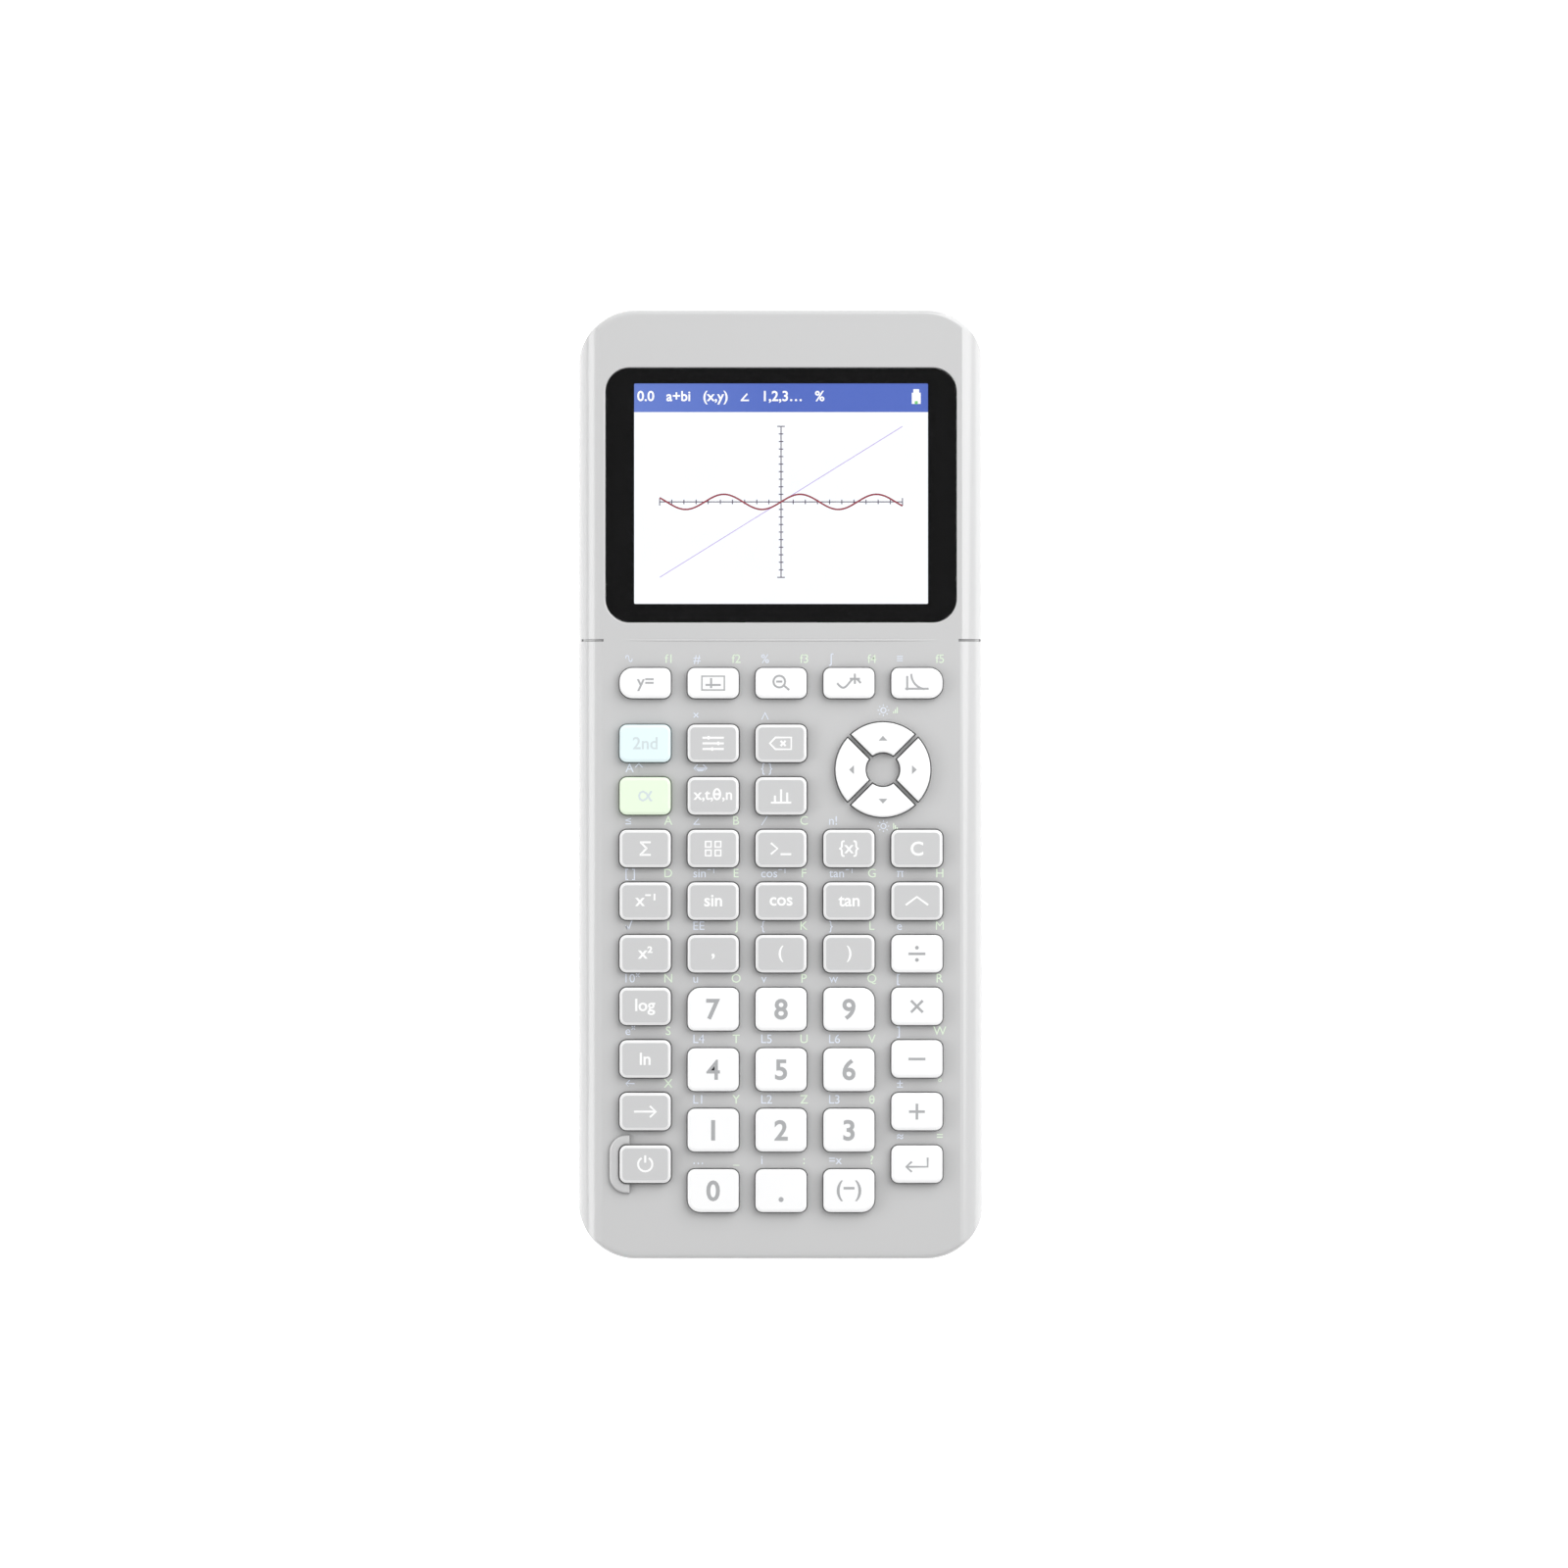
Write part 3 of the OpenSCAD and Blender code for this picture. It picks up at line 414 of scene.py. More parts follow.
def box_at(bm, low, high):
    made = bmesh.ops.create_cube(bm, size=1)["verts"]
    low, high = Vector(low), Vector(high)
    place = Matrix.Translation((low + high) / 2) @ Matrix.Diagonal((*(high - low), 1))
    bmesh.ops.transform(bm, matrix=place, verts=made)
    return made


def soft_box(bm, low, high, edge=0.1):
    made = box_at(bm, low, high)
    edges = {e for v in made for e in v.link_edges}
    bmesh.ops.bevel(bm, geom=list(edges), offset=edge, segments=2, profile=0.5, affect="EDGES", material=-1)


# ---- Front shell ----


def depth_inside(x, y):
    """How far a point lies inside the body's outline."""
    qx = abs(x) - HALF_W + CORNER_R
    qy = abs(y) - HALF_L + CORNER_R
    return CORNER_R - math.hypot(max(qx, 0), max(qy, 0)) - min(max(qx, qy), 0)


def side_width(y):
    return SCREEN_SIDE_W if y > SEAM_Y else KEYPAD_SIDE_W


def face_height(x, y):
    """Height of the front shell: flat, with a shallow crease where each long side rounds off."""
    side_w = side_width(y)
    z = FACE_Z
    if abs(x) > HALF_W - side_w:
        middle_z = FACE_Z - math.sqrt(SIDE_R**2 - (SIDE_R - side_w) ** 2)
        z = middle_z + math.sqrt(max(SIDE_R**2 - (abs(x) - HALF_W + SIDE_R) ** 2, 0))
    inside = max(depth_inside(x, y), 0)
    if inside < EDGE_R:
        z = min(z, FACE_Z - EDGE_R + math.sqrt(EDGE_R**2 - (EDGE_R - inside) ** 2))
    groove = abs(y - SEAM_Y) < SEAM_W / 2 - 0.05
    if groove and abs(x) > HALF_W - KEYPAD_SIDE_W - SEAM_OVER + 0.01 and abs(x) < HALF_W - 0.7:
        z -= SEAM_D
    return z


def boundary_at(bm, z):
    return [e for e in bm.edges if e.is_boundary and all(abs(v.co.z - z) < 1e-4 for v in e.verts)]


def sink_hole(bm, face, lip, lip_depth, bottom):
    """Rounds a hole's rim, runs its wall down to the bottom and opens it."""
    for k in range(3):
        a, b = (math.pi / 2 * (k + i) / 3 for i in (0, 1))
        inset(bm, face, lip * (math.sin(b) - math.sin(a)), -lip_depth * (math.cos(a) - math.cos(b)))
    face = raise_face(bm, face, bottom - (FACE_Z - lip_depth))
    bmesh.ops.delete(bm, geom=[face], context="FACES_ONLY")


def wedge_face(bm, angle, centre, outer, inner, side_gap, z, segments=14):
    """An arrow key's outline: two arcs between two straight sides along the diagonals."""
    apex = side_gap * math.sqrt(2)
    ends = []
    for r in (outer, inner):
        t = (-apex + math.sqrt(2 * r * r - apex * apex)) / 2
        half = math.atan2(t, apex + t)
        start = bm.verts.new((r * math.cos(-half), r * math.sin(-half), 0))
        spun = bmesh.ops.spin(
            bm, geom=[start], cent=(0, 0, 0), axis=(0, 0, 1), angle=2 * half, steps=segments, use_merge=False
        )
        last = next(g for g in spun["geom_last"] if isinstance(g, bmesh.types.BMVert))
        ends.append((start, last))
    for i in (0, 1):
        bm.edges.new((ends[0][i], ends[1][i]))
    loop, todo = set(), [ends[0][0]]
    while todo:
        v = todo.pop()
        for e in v.link_edges:
            if e not in loop:
                loop.add(e)
                todo.extend(e.verts)
    face = bmesh.ops.contextual_create(bm, geom=list(loop))["faces"][0]
    place = Matrix.Translation((*centre, z)) @ Matrix.Rotation(math.radians(angle), 4, "Z")
    bmesh.ops.transform(bm, matrix=place, verts=face.verts)
    face.normal_update()
    if face.normal.z < 0:
        face.normal_flip()
    return face


def front_shell():
    bm = bmesh.new()
    lip, lip_depth = 0.22, 0.2
    outline = rounded_face(bm, (0, 0), 2 * HALF_W, 2 * HALF_L, [CORNER_R] * 4, SHELL_LOW, segments=26)
    top = raise_face(bm, outline, FACE_Z - SHELL_LOW)
    for step in (0.06, 0.1, 0.15, 0.2, 0.24, 0.25, 0.5):
        inset(bm, top, step)
    bmesh.ops.delete(bm, geom=[top], context="FACES_ONLY")
    for centre, w, h, radii, _ in CAPS.values():
        grow = KEY_GAP + lip
        hole = rounded_face(
            bm, centre, w + 2 * grow, h + 2 * grow, [r + grow for r in radii], FACE_Z, segments=6
        )
        sink_hole(bm, hole, lip, lip_depth, CEILING_Z)
    for angle in ARROW_KEYS.values():
        grow = KEY_GAP + ARROW_LIP
        hole = wedge_face(
            bm, angle, ARROW_C, ARROW_R + grow, ARROW_INNER_R - grow, ARROW_SPLIT / 2 - grow, FACE_Z
        )
        sink_hole(bm, hole, ARROW_LIP, ARROW_LIP, CEILING_Z)
    rim = 0.3
    grow = 2 * (WINDOW_GAP + rim)
    pane = rounded_face(
        bm, WINDOW_C, WINDOW_W + grow, WINDOW_H + grow, [WINDOW_R + rim] * 4, FACE_Z, segments=14
    )
    sink_hole(bm, pane, rim, rim, CEILING_Z)
    bmesh.ops.triangle_fill(bm, use_beauty=True, edges=boundary_at(bm, FACE_Z), normal=(0, 0, 1))
    inner = rounded_face(
        bm, (0, 0), 2 * (HALF_W - WALL), 2 * (HALF_L - WALL), [CORNER_R - WALL] * 4, CEILING_Z, segments=12
    )
    low = raise_face(bm, inner, SHELL_LOW - CEILING_Z)
    bmesh.ops.delete(bm, geom=[inner, low], context="FACES_ONLY")
    bmesh.ops.triangle_fill(bm, use_beauty=True, edges=boundary_at(bm, CEILING_Z), normal=(0, 0, -1))
    floor = [f for f in bm.faces if all(abs(v.co.z - SHELL_LOW) < 1e-4 for v in f.verts)]
    bmesh.ops.delete(bm, geom=floor, context="FACES_ONLY")
    bmesh.ops.triangle_fill(bm, use_beauty=True, edges=boundary_at(bm, SHELL_LOW), normal=(0, 0, -1))
    # Cuts along the rounded sides and the seam, so that the height can follow the section.
    cuts = [(SEAM_Y + s * (SEAM_W / 2 - t), (0, 1, 0)) for s in (-1, 1) for t in (0.0, 0.06)]
    for side in (-1, 1):
        for back in (5.0, 4.7, 4.3, 3.9, 3.45, 3.0, 2.55, 2.1, 1.65, 1.25, 0.9, 0.65):
            cuts.append((side * (HALF_W - back), (1, 0, 0)))
    for at, way in cuts:
        upper = [f for f in bm.faces if all(v.co.z > FACE_Z - 0.01 for v in f.verts)]
        parts = set(upper) | {e for f in upper for e in f.edges} | {v for f in upper for v in f.verts}
        bmesh.ops.bisect_plane(
            bm, geom=list(parts), dist=1e-5, plane_co=[c * at for c in way], plane_no=way
        )
    for v in bm.verts:
        if abs(v.co.z - FACE_Z) < 1e-4:
            v.co.z = face_height(v.co.x, v.co.y)
    for e in bm.edges:
        a, b = e.verts
        crease = HALF_W - side_width((a.co.y + b.co.y) / 2)
        if all(abs(abs(v.co.x) - crease) < 1e-3 for v in (a, b)) and a.co.z > FACE_Z - 0.01:
            e.smooth = False
    return to_piece("front_shell", bm, case_gloss, replaces=["front_case"])


front_shell()

# ---- Keys ----
KEY_SINK = 0.02        # how far the printed top lies under the top of the modelled key
KEY_EDGE_RISE = 0.35   # height of a key's softened edge
CAP_FULLER = 0.08      # how much closer to the rim of its opening a cap's side comes


def key_finish(name):
    if name == "key_second":
        return key_blue, "key_pale_blue"
    if name == "key_alpha":
        return key_green, "key_pale_green"
    return (key_white, "key_white") if name in WHITE_KEYS else (key_grey, "key_grey")


def soften(bm, cap):
    """A key's edge: a tight round, then a shallow bevel up to the flat top."""
    round_over(bm, cap, 0.3, 0.24, steps=4)
    for width, rise in ((0.12, 0.05), (0.14, 0.042), (0.12, 0.018)):
        inset(bm, cap, width, rise)


for name, (centre, w, h, radii, top) in CAPS.items():
    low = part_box(name)[0].z / MM
    bm = bmesh.new()
    foot = rounded_face(bm, centre, w + 2 * FLANGE_W, h + 2 * FLANGE_W, [r + FLANGE_W for r in radii], low)
    ledge = raise_face(bm, foot, FLANGE_T)
    inset(bm, ledge, FLANGE_W - CAP_FULLER)
    cap = raise_face(bm, ledge, top - KEY_SINK - low - FLANGE_T - KEY_EDGE_RISE)
    soften(bm, cap)
    material, slot = key_finish(name)
    to_piece(name + "_cap", bm, material, name, [name])

for name, angle in ARROW_KEYS.items():
    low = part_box(name)[0].z / MM
    bm = bmesh.new()
    side = ARROW_SPLIT / 2
    foot = wedge_face(bm, angle, ARROW_C, ARROW_R + FLANGE_W, ARROW_INNER_R - FLANGE_W, side, low)
    raise_face(bm, foot, FLANGE_T)
    cap = wedge_face(bm, angle, ARROW_C, ARROW_R, ARROW_INNER_R, side, low + FLANGE_T)
    cap = raise_face(bm, cap, ARROW_TOP - KEY_SINK - low - FLANGE_T - KEY_EDGE_RISE)
    round_over(bm, cap, 0.45, KEY_EDGE_RISE, steps=5)
    to_piece(name + "_cap", bm, key_white, name, [name])

# ---- Legends ----
# Each one is flat ink let into the surface that carries it.
INK_T = 0.03
FONT_CAP = 0.682       # height of a capital in the built-in typeface at size 1
waiting = []


def write(group, words, x, y, cap, align="CENTER", bold=0.0, middle=False):
    """Words with capitals of the given height. y is the baseline, or the middle of what is written."""
    text = bpy.data.curves.new("words", "FONT")
    text.body = words
    text.extrude = 0.01
    text.offset = bold
    text.resolution_u = 4
    note = bpy.data.objects.new("words", text)
    bpy.context.scene.collection.objects.link(note)
    waiting.append((group, note, x, y, cap, align, middle))


def draw(group, lines, x, y, width=0.42, closed=False):
    """Lines of an even width through points about (x, y), with round joints."""
    for points in lines:
        path = bpy.data.curves.new("lines", "CURVE")
        path.dimensions = "3D"
        path.bevel_depth = width / 2
        path.bevel_resolution = 2
        path.use_fill_caps = True
        spline = path.splines.new("POLY")
        spline.points.add(len(points) - 1)
        for point, (px, py) in zip(spline.points, points):
            point.co = (px, py, 0, 1)
        spline.use_cyclic_u = closed
        note = bpy.data.objects.new("lines", path)
        bpy.context.scene.collection.objects.link(note)
        waiting.append((group, note, x, y, None, None, False))


def arc(r, start, end, cx=0.0, cy=0.0, steps=16):
    turns = [math.radians(start + (end - start) * i / steps) for i in range(steps + 1)]
    return [(cx + r * math.cos(t), cy + r * math.sin(t)) for t in turns]


def wave(span, height, turns, steps=28):
    return [
        (span * (i / steps - 0.5), height * math.sin(2 * math.pi * turns * (i / steps - 0.5)))
        for i in range(steps + 1)
    ]


def box_line(w, h, cx=0.0, cy=0.0):
    return [(cx + sx * w / 2, cy + sy * h / 2) for sx, sy in ((-1, -1), (1, -1), (1, 1), (-1, 1))]


def theta(w, h, cx=0.0, cy=0.0):
    """A bar, and the oval round it."""
    turns = [2 * math.pi * i / 24 for i in range(24)]
    oval = [(cx + w / 2 * math.cos(t), cy + h / 2 * math.sin(t)) for t in turns]
    return [[(cx - w / 2, cy), (cx + w / 2, cy)]], [oval]


def pi_sign(w, h):
    legs = [[(side * w / 4, h / 2), (side * w / 3, -h / 2)] for side in (-1, 1)]
    return [[(-w / 2, h / 2), (w / 2, h / 2)], *legs]


# Drawn signs: open lines, then closed ones.
SIGNS = {
    "key_window": ([[(-1.5, -0.35), (1.5, -0.35)], [(-0.4, -1.0), (-0.4, 1.0)]], [box_line(4.4, 2.7)]),
    "key_zoom": ([[(0.65, -0.55), (1.6, -1.35)], [(-0.95, 0.3), (0.25, 0.3)]],
                 [arc(1.15, 0, 360, -0.35, 0.3)[:-1]]),
    "key_trace": ([wave(4.6, 0.9, 1.0), [(1.15, -0.15), (1.15, 1.85)], [(0.15, 0.85), (2.15, 0.85)]], []),
    "key_graph": ([[(-2.3, -1.1), (2.3, -1.1)], [(-1.9, -1.4), (-1.9, 1.4)],
                   arc(3.0, 180, 262, 1.9, 1.8)], []),
    "key_mode": ([[(-2.1, d), (2.1, d)] for d in (1.1, 0, -1.1)] + [[(p, d - 0.35), (p, d + 0.35)] for p, d in
                 ((-0.9, 1.1), (1.0, 0), (-0.2, -1.1))], []),
    "key_delete": ([[(-0.1, 0.5), (0.9, -0.5)], [(-0.1, -0.5), (0.9, 0.5)]],
                   [[(-2.2, 0), (-1.1, 1.15), (2.0, 1.15), (2.0, -1.15), (-1.1, -1.15)]]),
    "key_statistics": ([[(-2.0, -1.3), (2.0, -1.3)]] + [[(p, -1.3), (p, t)] for p, t in
                       ((-1.2, 0.1), (0.0, 1.3), (1.2, 0.7))], []),
    "key_apps": ([], [box_line(1.1, 1.1, cx, cy) for cx in (-0.95, 0.95) for cy in (-0.85, 0.85)]),
    "key_program": ([[(-2.0, 1.1), (-0.7, 0.0), (-2.0, -1.1)], [(-0.1, -1.1), (2.0, -1.1)]], []),
    "key_power_of": ([[(-2.2, -0.75), (0, 0.85), (2.2, -0.75)]], []),
    "key_store": ([[(-2.2, 0), (2.0, 0)], [(0.9, 1.1), (2.1, 0), (0.9, -1.1)]], []),
    "key_on": ([arc(1.4, 120, 420), [(0, 0.3), (0, 1.75)]], []),
    "key_enter": ([[(2.1, 1.3), (2.1, -0.5), (-2.0, -0.5)],
                   [(-1.0, 0.5), (-2.1, -0.5), (-1.0, -1.5)]], []),
    "key_add": ([[(-1.55, 0), (1.55, 0)], [(0, -1.55), (0, 1.55)]], []),
    "key_unknown": theta(1.25, 2.0, 0.75, 0.35),
    "key_alpha": ([[(1.25, 0.95), (0.75, 0.2), (0.2, -0.55), (-0.45, -0.9), (-1.0, -0.6), (-1.2, 0.0),
                    (-1.0, 0.6), (-0.45, 0.9), (0.2, 0.55), (0.75, -0.3), (1.0, -0.8), (1.35, -0.9)]], []),
    "key_subtract": ([[(-1.65, 0), (1.65, 0)]], []),
    "key_multiply": ([[(-1.15, -1.15), (1.15, 1.15)], [(-1.15, 1.15), (1.15, -1.15)]], []),
    "key_divide": ([[(-1.65, 0), (1.65, 0)]], [arc(0.12, 0, 360, 0, d)[:-1] for d in (1.2, -1.2)]),
}
# Words: what is written, height of its capitals, boldness.
WORDS = {
    "key_function": ("y=", 2.25, 0.012), "key_second": ("2nd", 2.3, 0.012),
    "key_math": ("\u03a3", 2.6, 0.01),
    "key_variables": ("{x}", 2.3, 0.015), "key_clear": ("C", 2.6, 0.02),
    "key_reciprocal": ("x\u207b\u00b9", 2.3, 0.018),
    "key_square": ("x\u00b2", 2.3, 0.018), "key_sine": ("sin", 2.3, 0.02), "key_cosine": ("cos", 2.3, 0.02),
    "key_tangent": ("tan", 2.3, 0.02), "key_comma": (",", 2.6, 0.02), "key_bracket_open": ("(", 2.3, 0.015),
    "key_bracket_close": (")", 2.3, 0.015), "key_log": ("log", 2.3, 0.02), "key_ln": ("ln", 2.3, 0.02),
    "key_point": (".", 3.95, 0.025), "key_negative": ("(\u2212)", 2.9, 0.015),
} | {f"key_{n}": (str(n), 3.75, 0.012 if n == 4 else 0.022) for n in range(10)}

cx, cy = CAPS["key_unknown"][0]
for words, shift in (("x,t,", -1.95), (",n", 2.75)):
    write("key_unknown", words, cx + shift, cy - 0.7, 2.05, bold=0.018)
for name, (lines, loops) in SIGNS.items():
    cx, cy = CAPS[name][0]
    width = 0.5 if name in ("key_add", "key_subtract", "key_multiply", "key_divide") else 0.4
    draw(name, lines, cx, cy, width)
    draw(name, loops, cx, cy, width, closed=True)
ON_BASELINE = {
    "key_function": -0.75, "key_second": -1.1, "key_reciprocal": -0.9, "key_square": -0.9,
    "key_sine": -0.95, "key_cosine": -0.8, "key_tangent": -0.95, "key_log": -0.85, "key_ln": -1.1,
    "key_point": -2.0, "key_comma": -0.5,
}
for name, (words, cap, bold) in WORDS.items():
    cx, cy = CAPS[name][0]
    write(name, words, cx, cy + ON_BASELINE.get(name, 0), cap, bold=bold, middle=name not in ON_BASELINE)

# Second functions over the keys: at the left in pale blue, at the right in pale green.
SECOND = {
    "key_function": ("\u223f", "f1"), "key_window": ("#", "f2"), "key_zoom": ("%", "f3"),
    "key_trace": ("\u222b", "f4"), "key_graph": ("\u2261", "f5"),
    "key_mode": ("\u00d7", ""), "key_delete": ("\u2227", ""),
    "key_alpha": ("A\u2191", ""), "key_unknown": ("\u2194", ""), "key_statistics": ("{ }", ""),
    "key_math": ("\u2264", "A"), "key_apps": ("\u2220", "B"), "key_program": ("\u2215", "C"),
    "key_variables": ("n!", ""), "key_reciprocal": ("[ ]", "D"), "key_sine": ("sin\u207b\u00b9", "E"),
    "key_cosine": ("cos\u207b\u00b9", "F"), "key_tangent": ("tan\u207b\u00b9", "G"),
    "key_power_of": ("", "H"),
    "key_square": ("\u221a", "I"), "key_comma": ("EE", "J"), "key_bracket_open": ("{", "K"),
    "key_bracket_close": ("}", "L"), "key_divide": ("e", "M"), "key_log": ("10\u02e3", "N"),
    "key_7": ("u", "O"), "key_8": ("v", "P"), "key_9": ("w", "Q"),
    "key_multiply": ("[", "R"), "key_ln": ("e\u02e3", "S"),
    "key_4": ("L4", "T"), "key_5": ("L5", "U"), "key_6": ("L6", "V"), "key_subtract": ("]", "W"),
    "key_store": ("\u2190", "X"), "key_1": ("L1", "Y"), "key_2": ("L2", "Z"), "key_3": ("L3", ""),
    "key_add": ("\u00b1", "\u00b0"), "key_on": ("", ""), "key_0": ("\u2026", "_"), "key_point": ("i", ":"),
    "key_negative": ("=x", "?"), "key_enter": ("\u2248", "="),
}
SECOND_CAP = 1.65
for name, (left, right) in SECOND.items():
    (cx, cy), _, h, _, _ = CAPS[name]
    base = cy + h / 2 + 1.9 - SECOND_CAP / 2
    if left:
        write("second_signs", left, cx - 3.9, base, SECOND_CAP, align="LEFT", bold=0.006)
    if right:
        write("letter_signs", right, cx + 4.5, base, SECOND_CAP, bold=0.0 if right == "M" else 0.006)
cx, cy = CAPS["key_power_of"][0]
draw("second_signs", pi_sign(1.3, 1.15), cx - 3.25, cy + 5.25, 0.24)
cx, cy = CAPS["key_3"][0]
for part, closed in zip(theta(0.85, 1.5), (False, True)):
    draw("letter_signs", part, cx + 4.5, cy + 6.0, 0.22, closed=closed)

# Lightness signs above and below the arrow keys.
for sun_y, rise in ((14.5, 1), (-8.2, -1)):
    sun_x = ARROW_C[0] + 0.1
    draw("second_signs", [arc(0.5, 0, 360)[:-1]], sun_x, sun_y, 0.22, closed=True)
    turns = [math.pi / 4 * i for i in range(8)]
    rays = [[(math.cos(t) * r, math.sin(t) * r) for r in (0.85, 1.15)] for t in turns]
    draw("second_signs", rays, sun_x, sun_y, 0.2)
    tall = [0.4 + 0.4 * i if rise > 0 else 1.2 - 0.4 * i for i in range(3)]
    bars = [[(0.35 * i - 0.4, -0.6), (0.35 * i - 0.4, t - 0.6)] for i, t in enumerate(tall)]
    draw("letter_signs", bars, sun_x + 2.4, sun_y, 0.24)

# What the lit picture shows: a status bar, axes with ticks, a sine curve and a straight line.
TICK_X = 2.38
TICK_Y = 1.48
TICKS = 10
AXES_C = (PICTURE_C[0], PICTURE_C[1] - 1.6)
BAR_H = 5.6
BAR_Y = PICTURE_C[1] + PICTURE_H / 2 - BAR_H / 2
span_x, span_y = TICK_X * TICKS, TICK_Y * TICKS
axes = [[(-span_x, 0), (span_x, 0)], [(0, -span_y), (0, span_y)]]
for i in range(-TICKS, TICKS + 1):
    end = 0.75 if abs(i) == TICKS else 0.45
    axes += [[(i * TICK_X, -end), (i * TICK_X, end)], [(-end, i * TICK_Y), (end, i * TICK_Y)]]
draw("picture_axes", axes, *AXES_C, 0.2)
turns = [-TICKS + i / 8 for i in range(16 * TICKS + 1)]
draw("picture_sine", [[(t * TICK_X, math.sin(t) * TICK_Y) for t in turns]], *AXES_C, 0.34)
draw("picture_line", [[(-span_x, -span_y), (span_x, span_y)]], *AXES_C, 0.17)
STATUS = "0.0   a+bi   (x,y)   \u2220   1,2,3\u2026   %"
write("picture_words", STATUS, PICTURE_C[0] - 28.2, BAR_Y - 0.6, 1.9, align="LEFT", bold=0.02)
cell = [[(x, -1.2), (x, 1.0)] for x in (0, 0.5, 1.0)] + [[(x, 1.0), (x, 1.7)] for x in (0.3, 0.7)]
draw("picture_words", cell, PICTURE_C[0] + 26.0, BAR_Y, 0.75)
draw("picture_charge", [[(0, 0), (0.6, 0)]], PICTURE_C[0] + 26.2, BAR_Y - 0.95, 0.6)


def inked():
    """Turns everything written or drawn into one mesh for each group, in millimetres."""
    groups = {}
    depsgraph = bpy.context.evaluated_depsgraph_get()
    for group, note, x, y, cap, align, middle in waiting:
        mesh = bpy.data.meshes.new_from_object(note.evaluated_get(depsgraph))
        scale = cap / FONT_CAP if cap else 1.0
        points = [v.co for v in mesh.vertices]
        thick = max(p.z for p in points) - min(p.z for p in points)
        xs = [p.x * scale for p in points]
        ys = [p.y * scale for p in points]
        shift_x, shift_y = x, y
        if align == "LEFT":
            shift_x -= min(xs)
        elif align == "CENTER":
            shift_x -= (min(xs) + max(xs)) / 2
        if middle:
            shift_y -= (min(ys) + max(ys)) / 2
        size = Matrix.Diagonal((scale, scale, INK_T / thick, 1))
        mesh.transform(Matrix.Translation((shift_x, shift_y, 0)) @ size)
        groups.setdefault(group, bmesh.new()).from_mesh(mesh)
        bpy.data.meshes.remove(mesh)
    for _, note, *_ in waiting:
        data = note.data
        bpy.data.objects.remove(note)
        bpy.data.curves.remove(data)
    return groups


def ink_piece(name, bm, z, material, body=ROOT):
    bmesh.ops.translate(bm, vec=(0, 0, z), verts=bm.verts)
    return to_piece(name, bm, material, body, weighted=False)


PICTURE_Z = 13.36      # face of the lit picture
MASK_Z = (13.5, 13.63)  # back and face of the black print under the window
groups = inked()
for group, bm in groups.items():
    if group.startswith("key_"):
        faint = group in ("key_second", "key_alpha")
        pale = group in WHITE_KEYS
        material = ink_faint if faint else ink_grey if pale else ink_white
        slot = key_finish(group)[1]
        ink_piece(group + "_sign", bm, CAPS[group][4] - KEY_SINK, material, group)
ink_piece("second_signs", groups["second_signs"], FACE_Z, ink_blue)
ink_piece("letter_signs", groups["letter_signs"], FACE_Z, ink_green)

# ---- Arrow signs ----
for name, angle in ARROW_KEYS.items():
    bm = bmesh.new()
    bmesh.ops.create_cone(bm, cap_ends=True, segments=3, radius1=1.0, radius2=1.0, depth=INK_T)
    arrow = Matrix.Diagonal((0.62, 1.0, 1, 1)) @ Matrix.Rotation(-math.pi / 2, 4, "Z")
    ring = Matrix.Translation((*ARROW_C, ARROW_TOP - KEY_SINK)) @ Matrix.Rotation(math.radians(angle), 4, "Z")
    place = ring @ Matrix.Translation((6.0, 0, 0)) @ arrow
    bmesh.ops.transform(bm, matrix=place, verts=bm.verts)
    to_piece(name + "_sign", bm, ink_grey, name, weighted=False)

# ---- Window and lit picture ----
bm = bmesh.new()
face = rounded_face(bm, WINDOW_C, WINDOW_W, WINDOW_H, [WINDOW_R - 0.1] * 4, window_low.z, segments=14)
face = raise_face(bm, face, window_high.z - window_low.z - WINDOW_EDGE_R)
round_over(bm, face, WINDOW_EDGE_R, WINDOW_EDGE_R, steps=4)
to_piece("window_pane", bm, clear_pane(), replaces=["screen_window"])


def frame_plate(name, outer, inner, low, high, material):
    """A flat plate with a window in it. outer and inner are centre, width, height and corner radius."""
    bm = bmesh.new()
    faces = [rounded_face(bm, c, w, h, [r] * 4, low, segments=10) for c, w, h, r in (outer, inner)]
    bmesh.ops.delete(bm, geom=faces, context="FACES_ONLY")
    filled = bmesh.ops.triangle_fill(bm, use_beauty=True, edges=bm.edges[:], normal=(0, 0, 1))["geom"]
    faces = [f for f in filled if isinstance(f, bmesh.types.BMFace)]
    made = bmesh.ops.extrude_face_region(bm, geom=faces, use_keep_orig=True)["geom"]
    raised = [g for g in made if isinstance(g, bmesh.types.BMVert)]
    bmesh.ops.translate(bm, vec=(0, 0, high - low), verts=raised)
    return to_piece(name, bm, material, weighted=False)


frame_plate("window_mask", (WINDOW_C, WINDOW_W - 0.1, WINDOW_H - 0.1, WINDOW_R - 0.2),
            (PICTURE_C, PICTURE_W, PICTURE_H, 0.25), *MASK_Z, window_mask)


def plate(name, centre, w, h, low, high, material):
    bm = bmesh.new()
    raise_face(bm, rounded_face(bm, centre, w, h, [0.2] * 4, low, segments=3), high - low)
    return to_piece(name, bm, material, weighted=False)


def screen_colour(r, g, b):
    """The light that shows as this colour on a display, each from 0 to 255."""
    return tuple(((c / 255 + 0.055) / 1.055) ** 2.4 for c in (r, g, b))


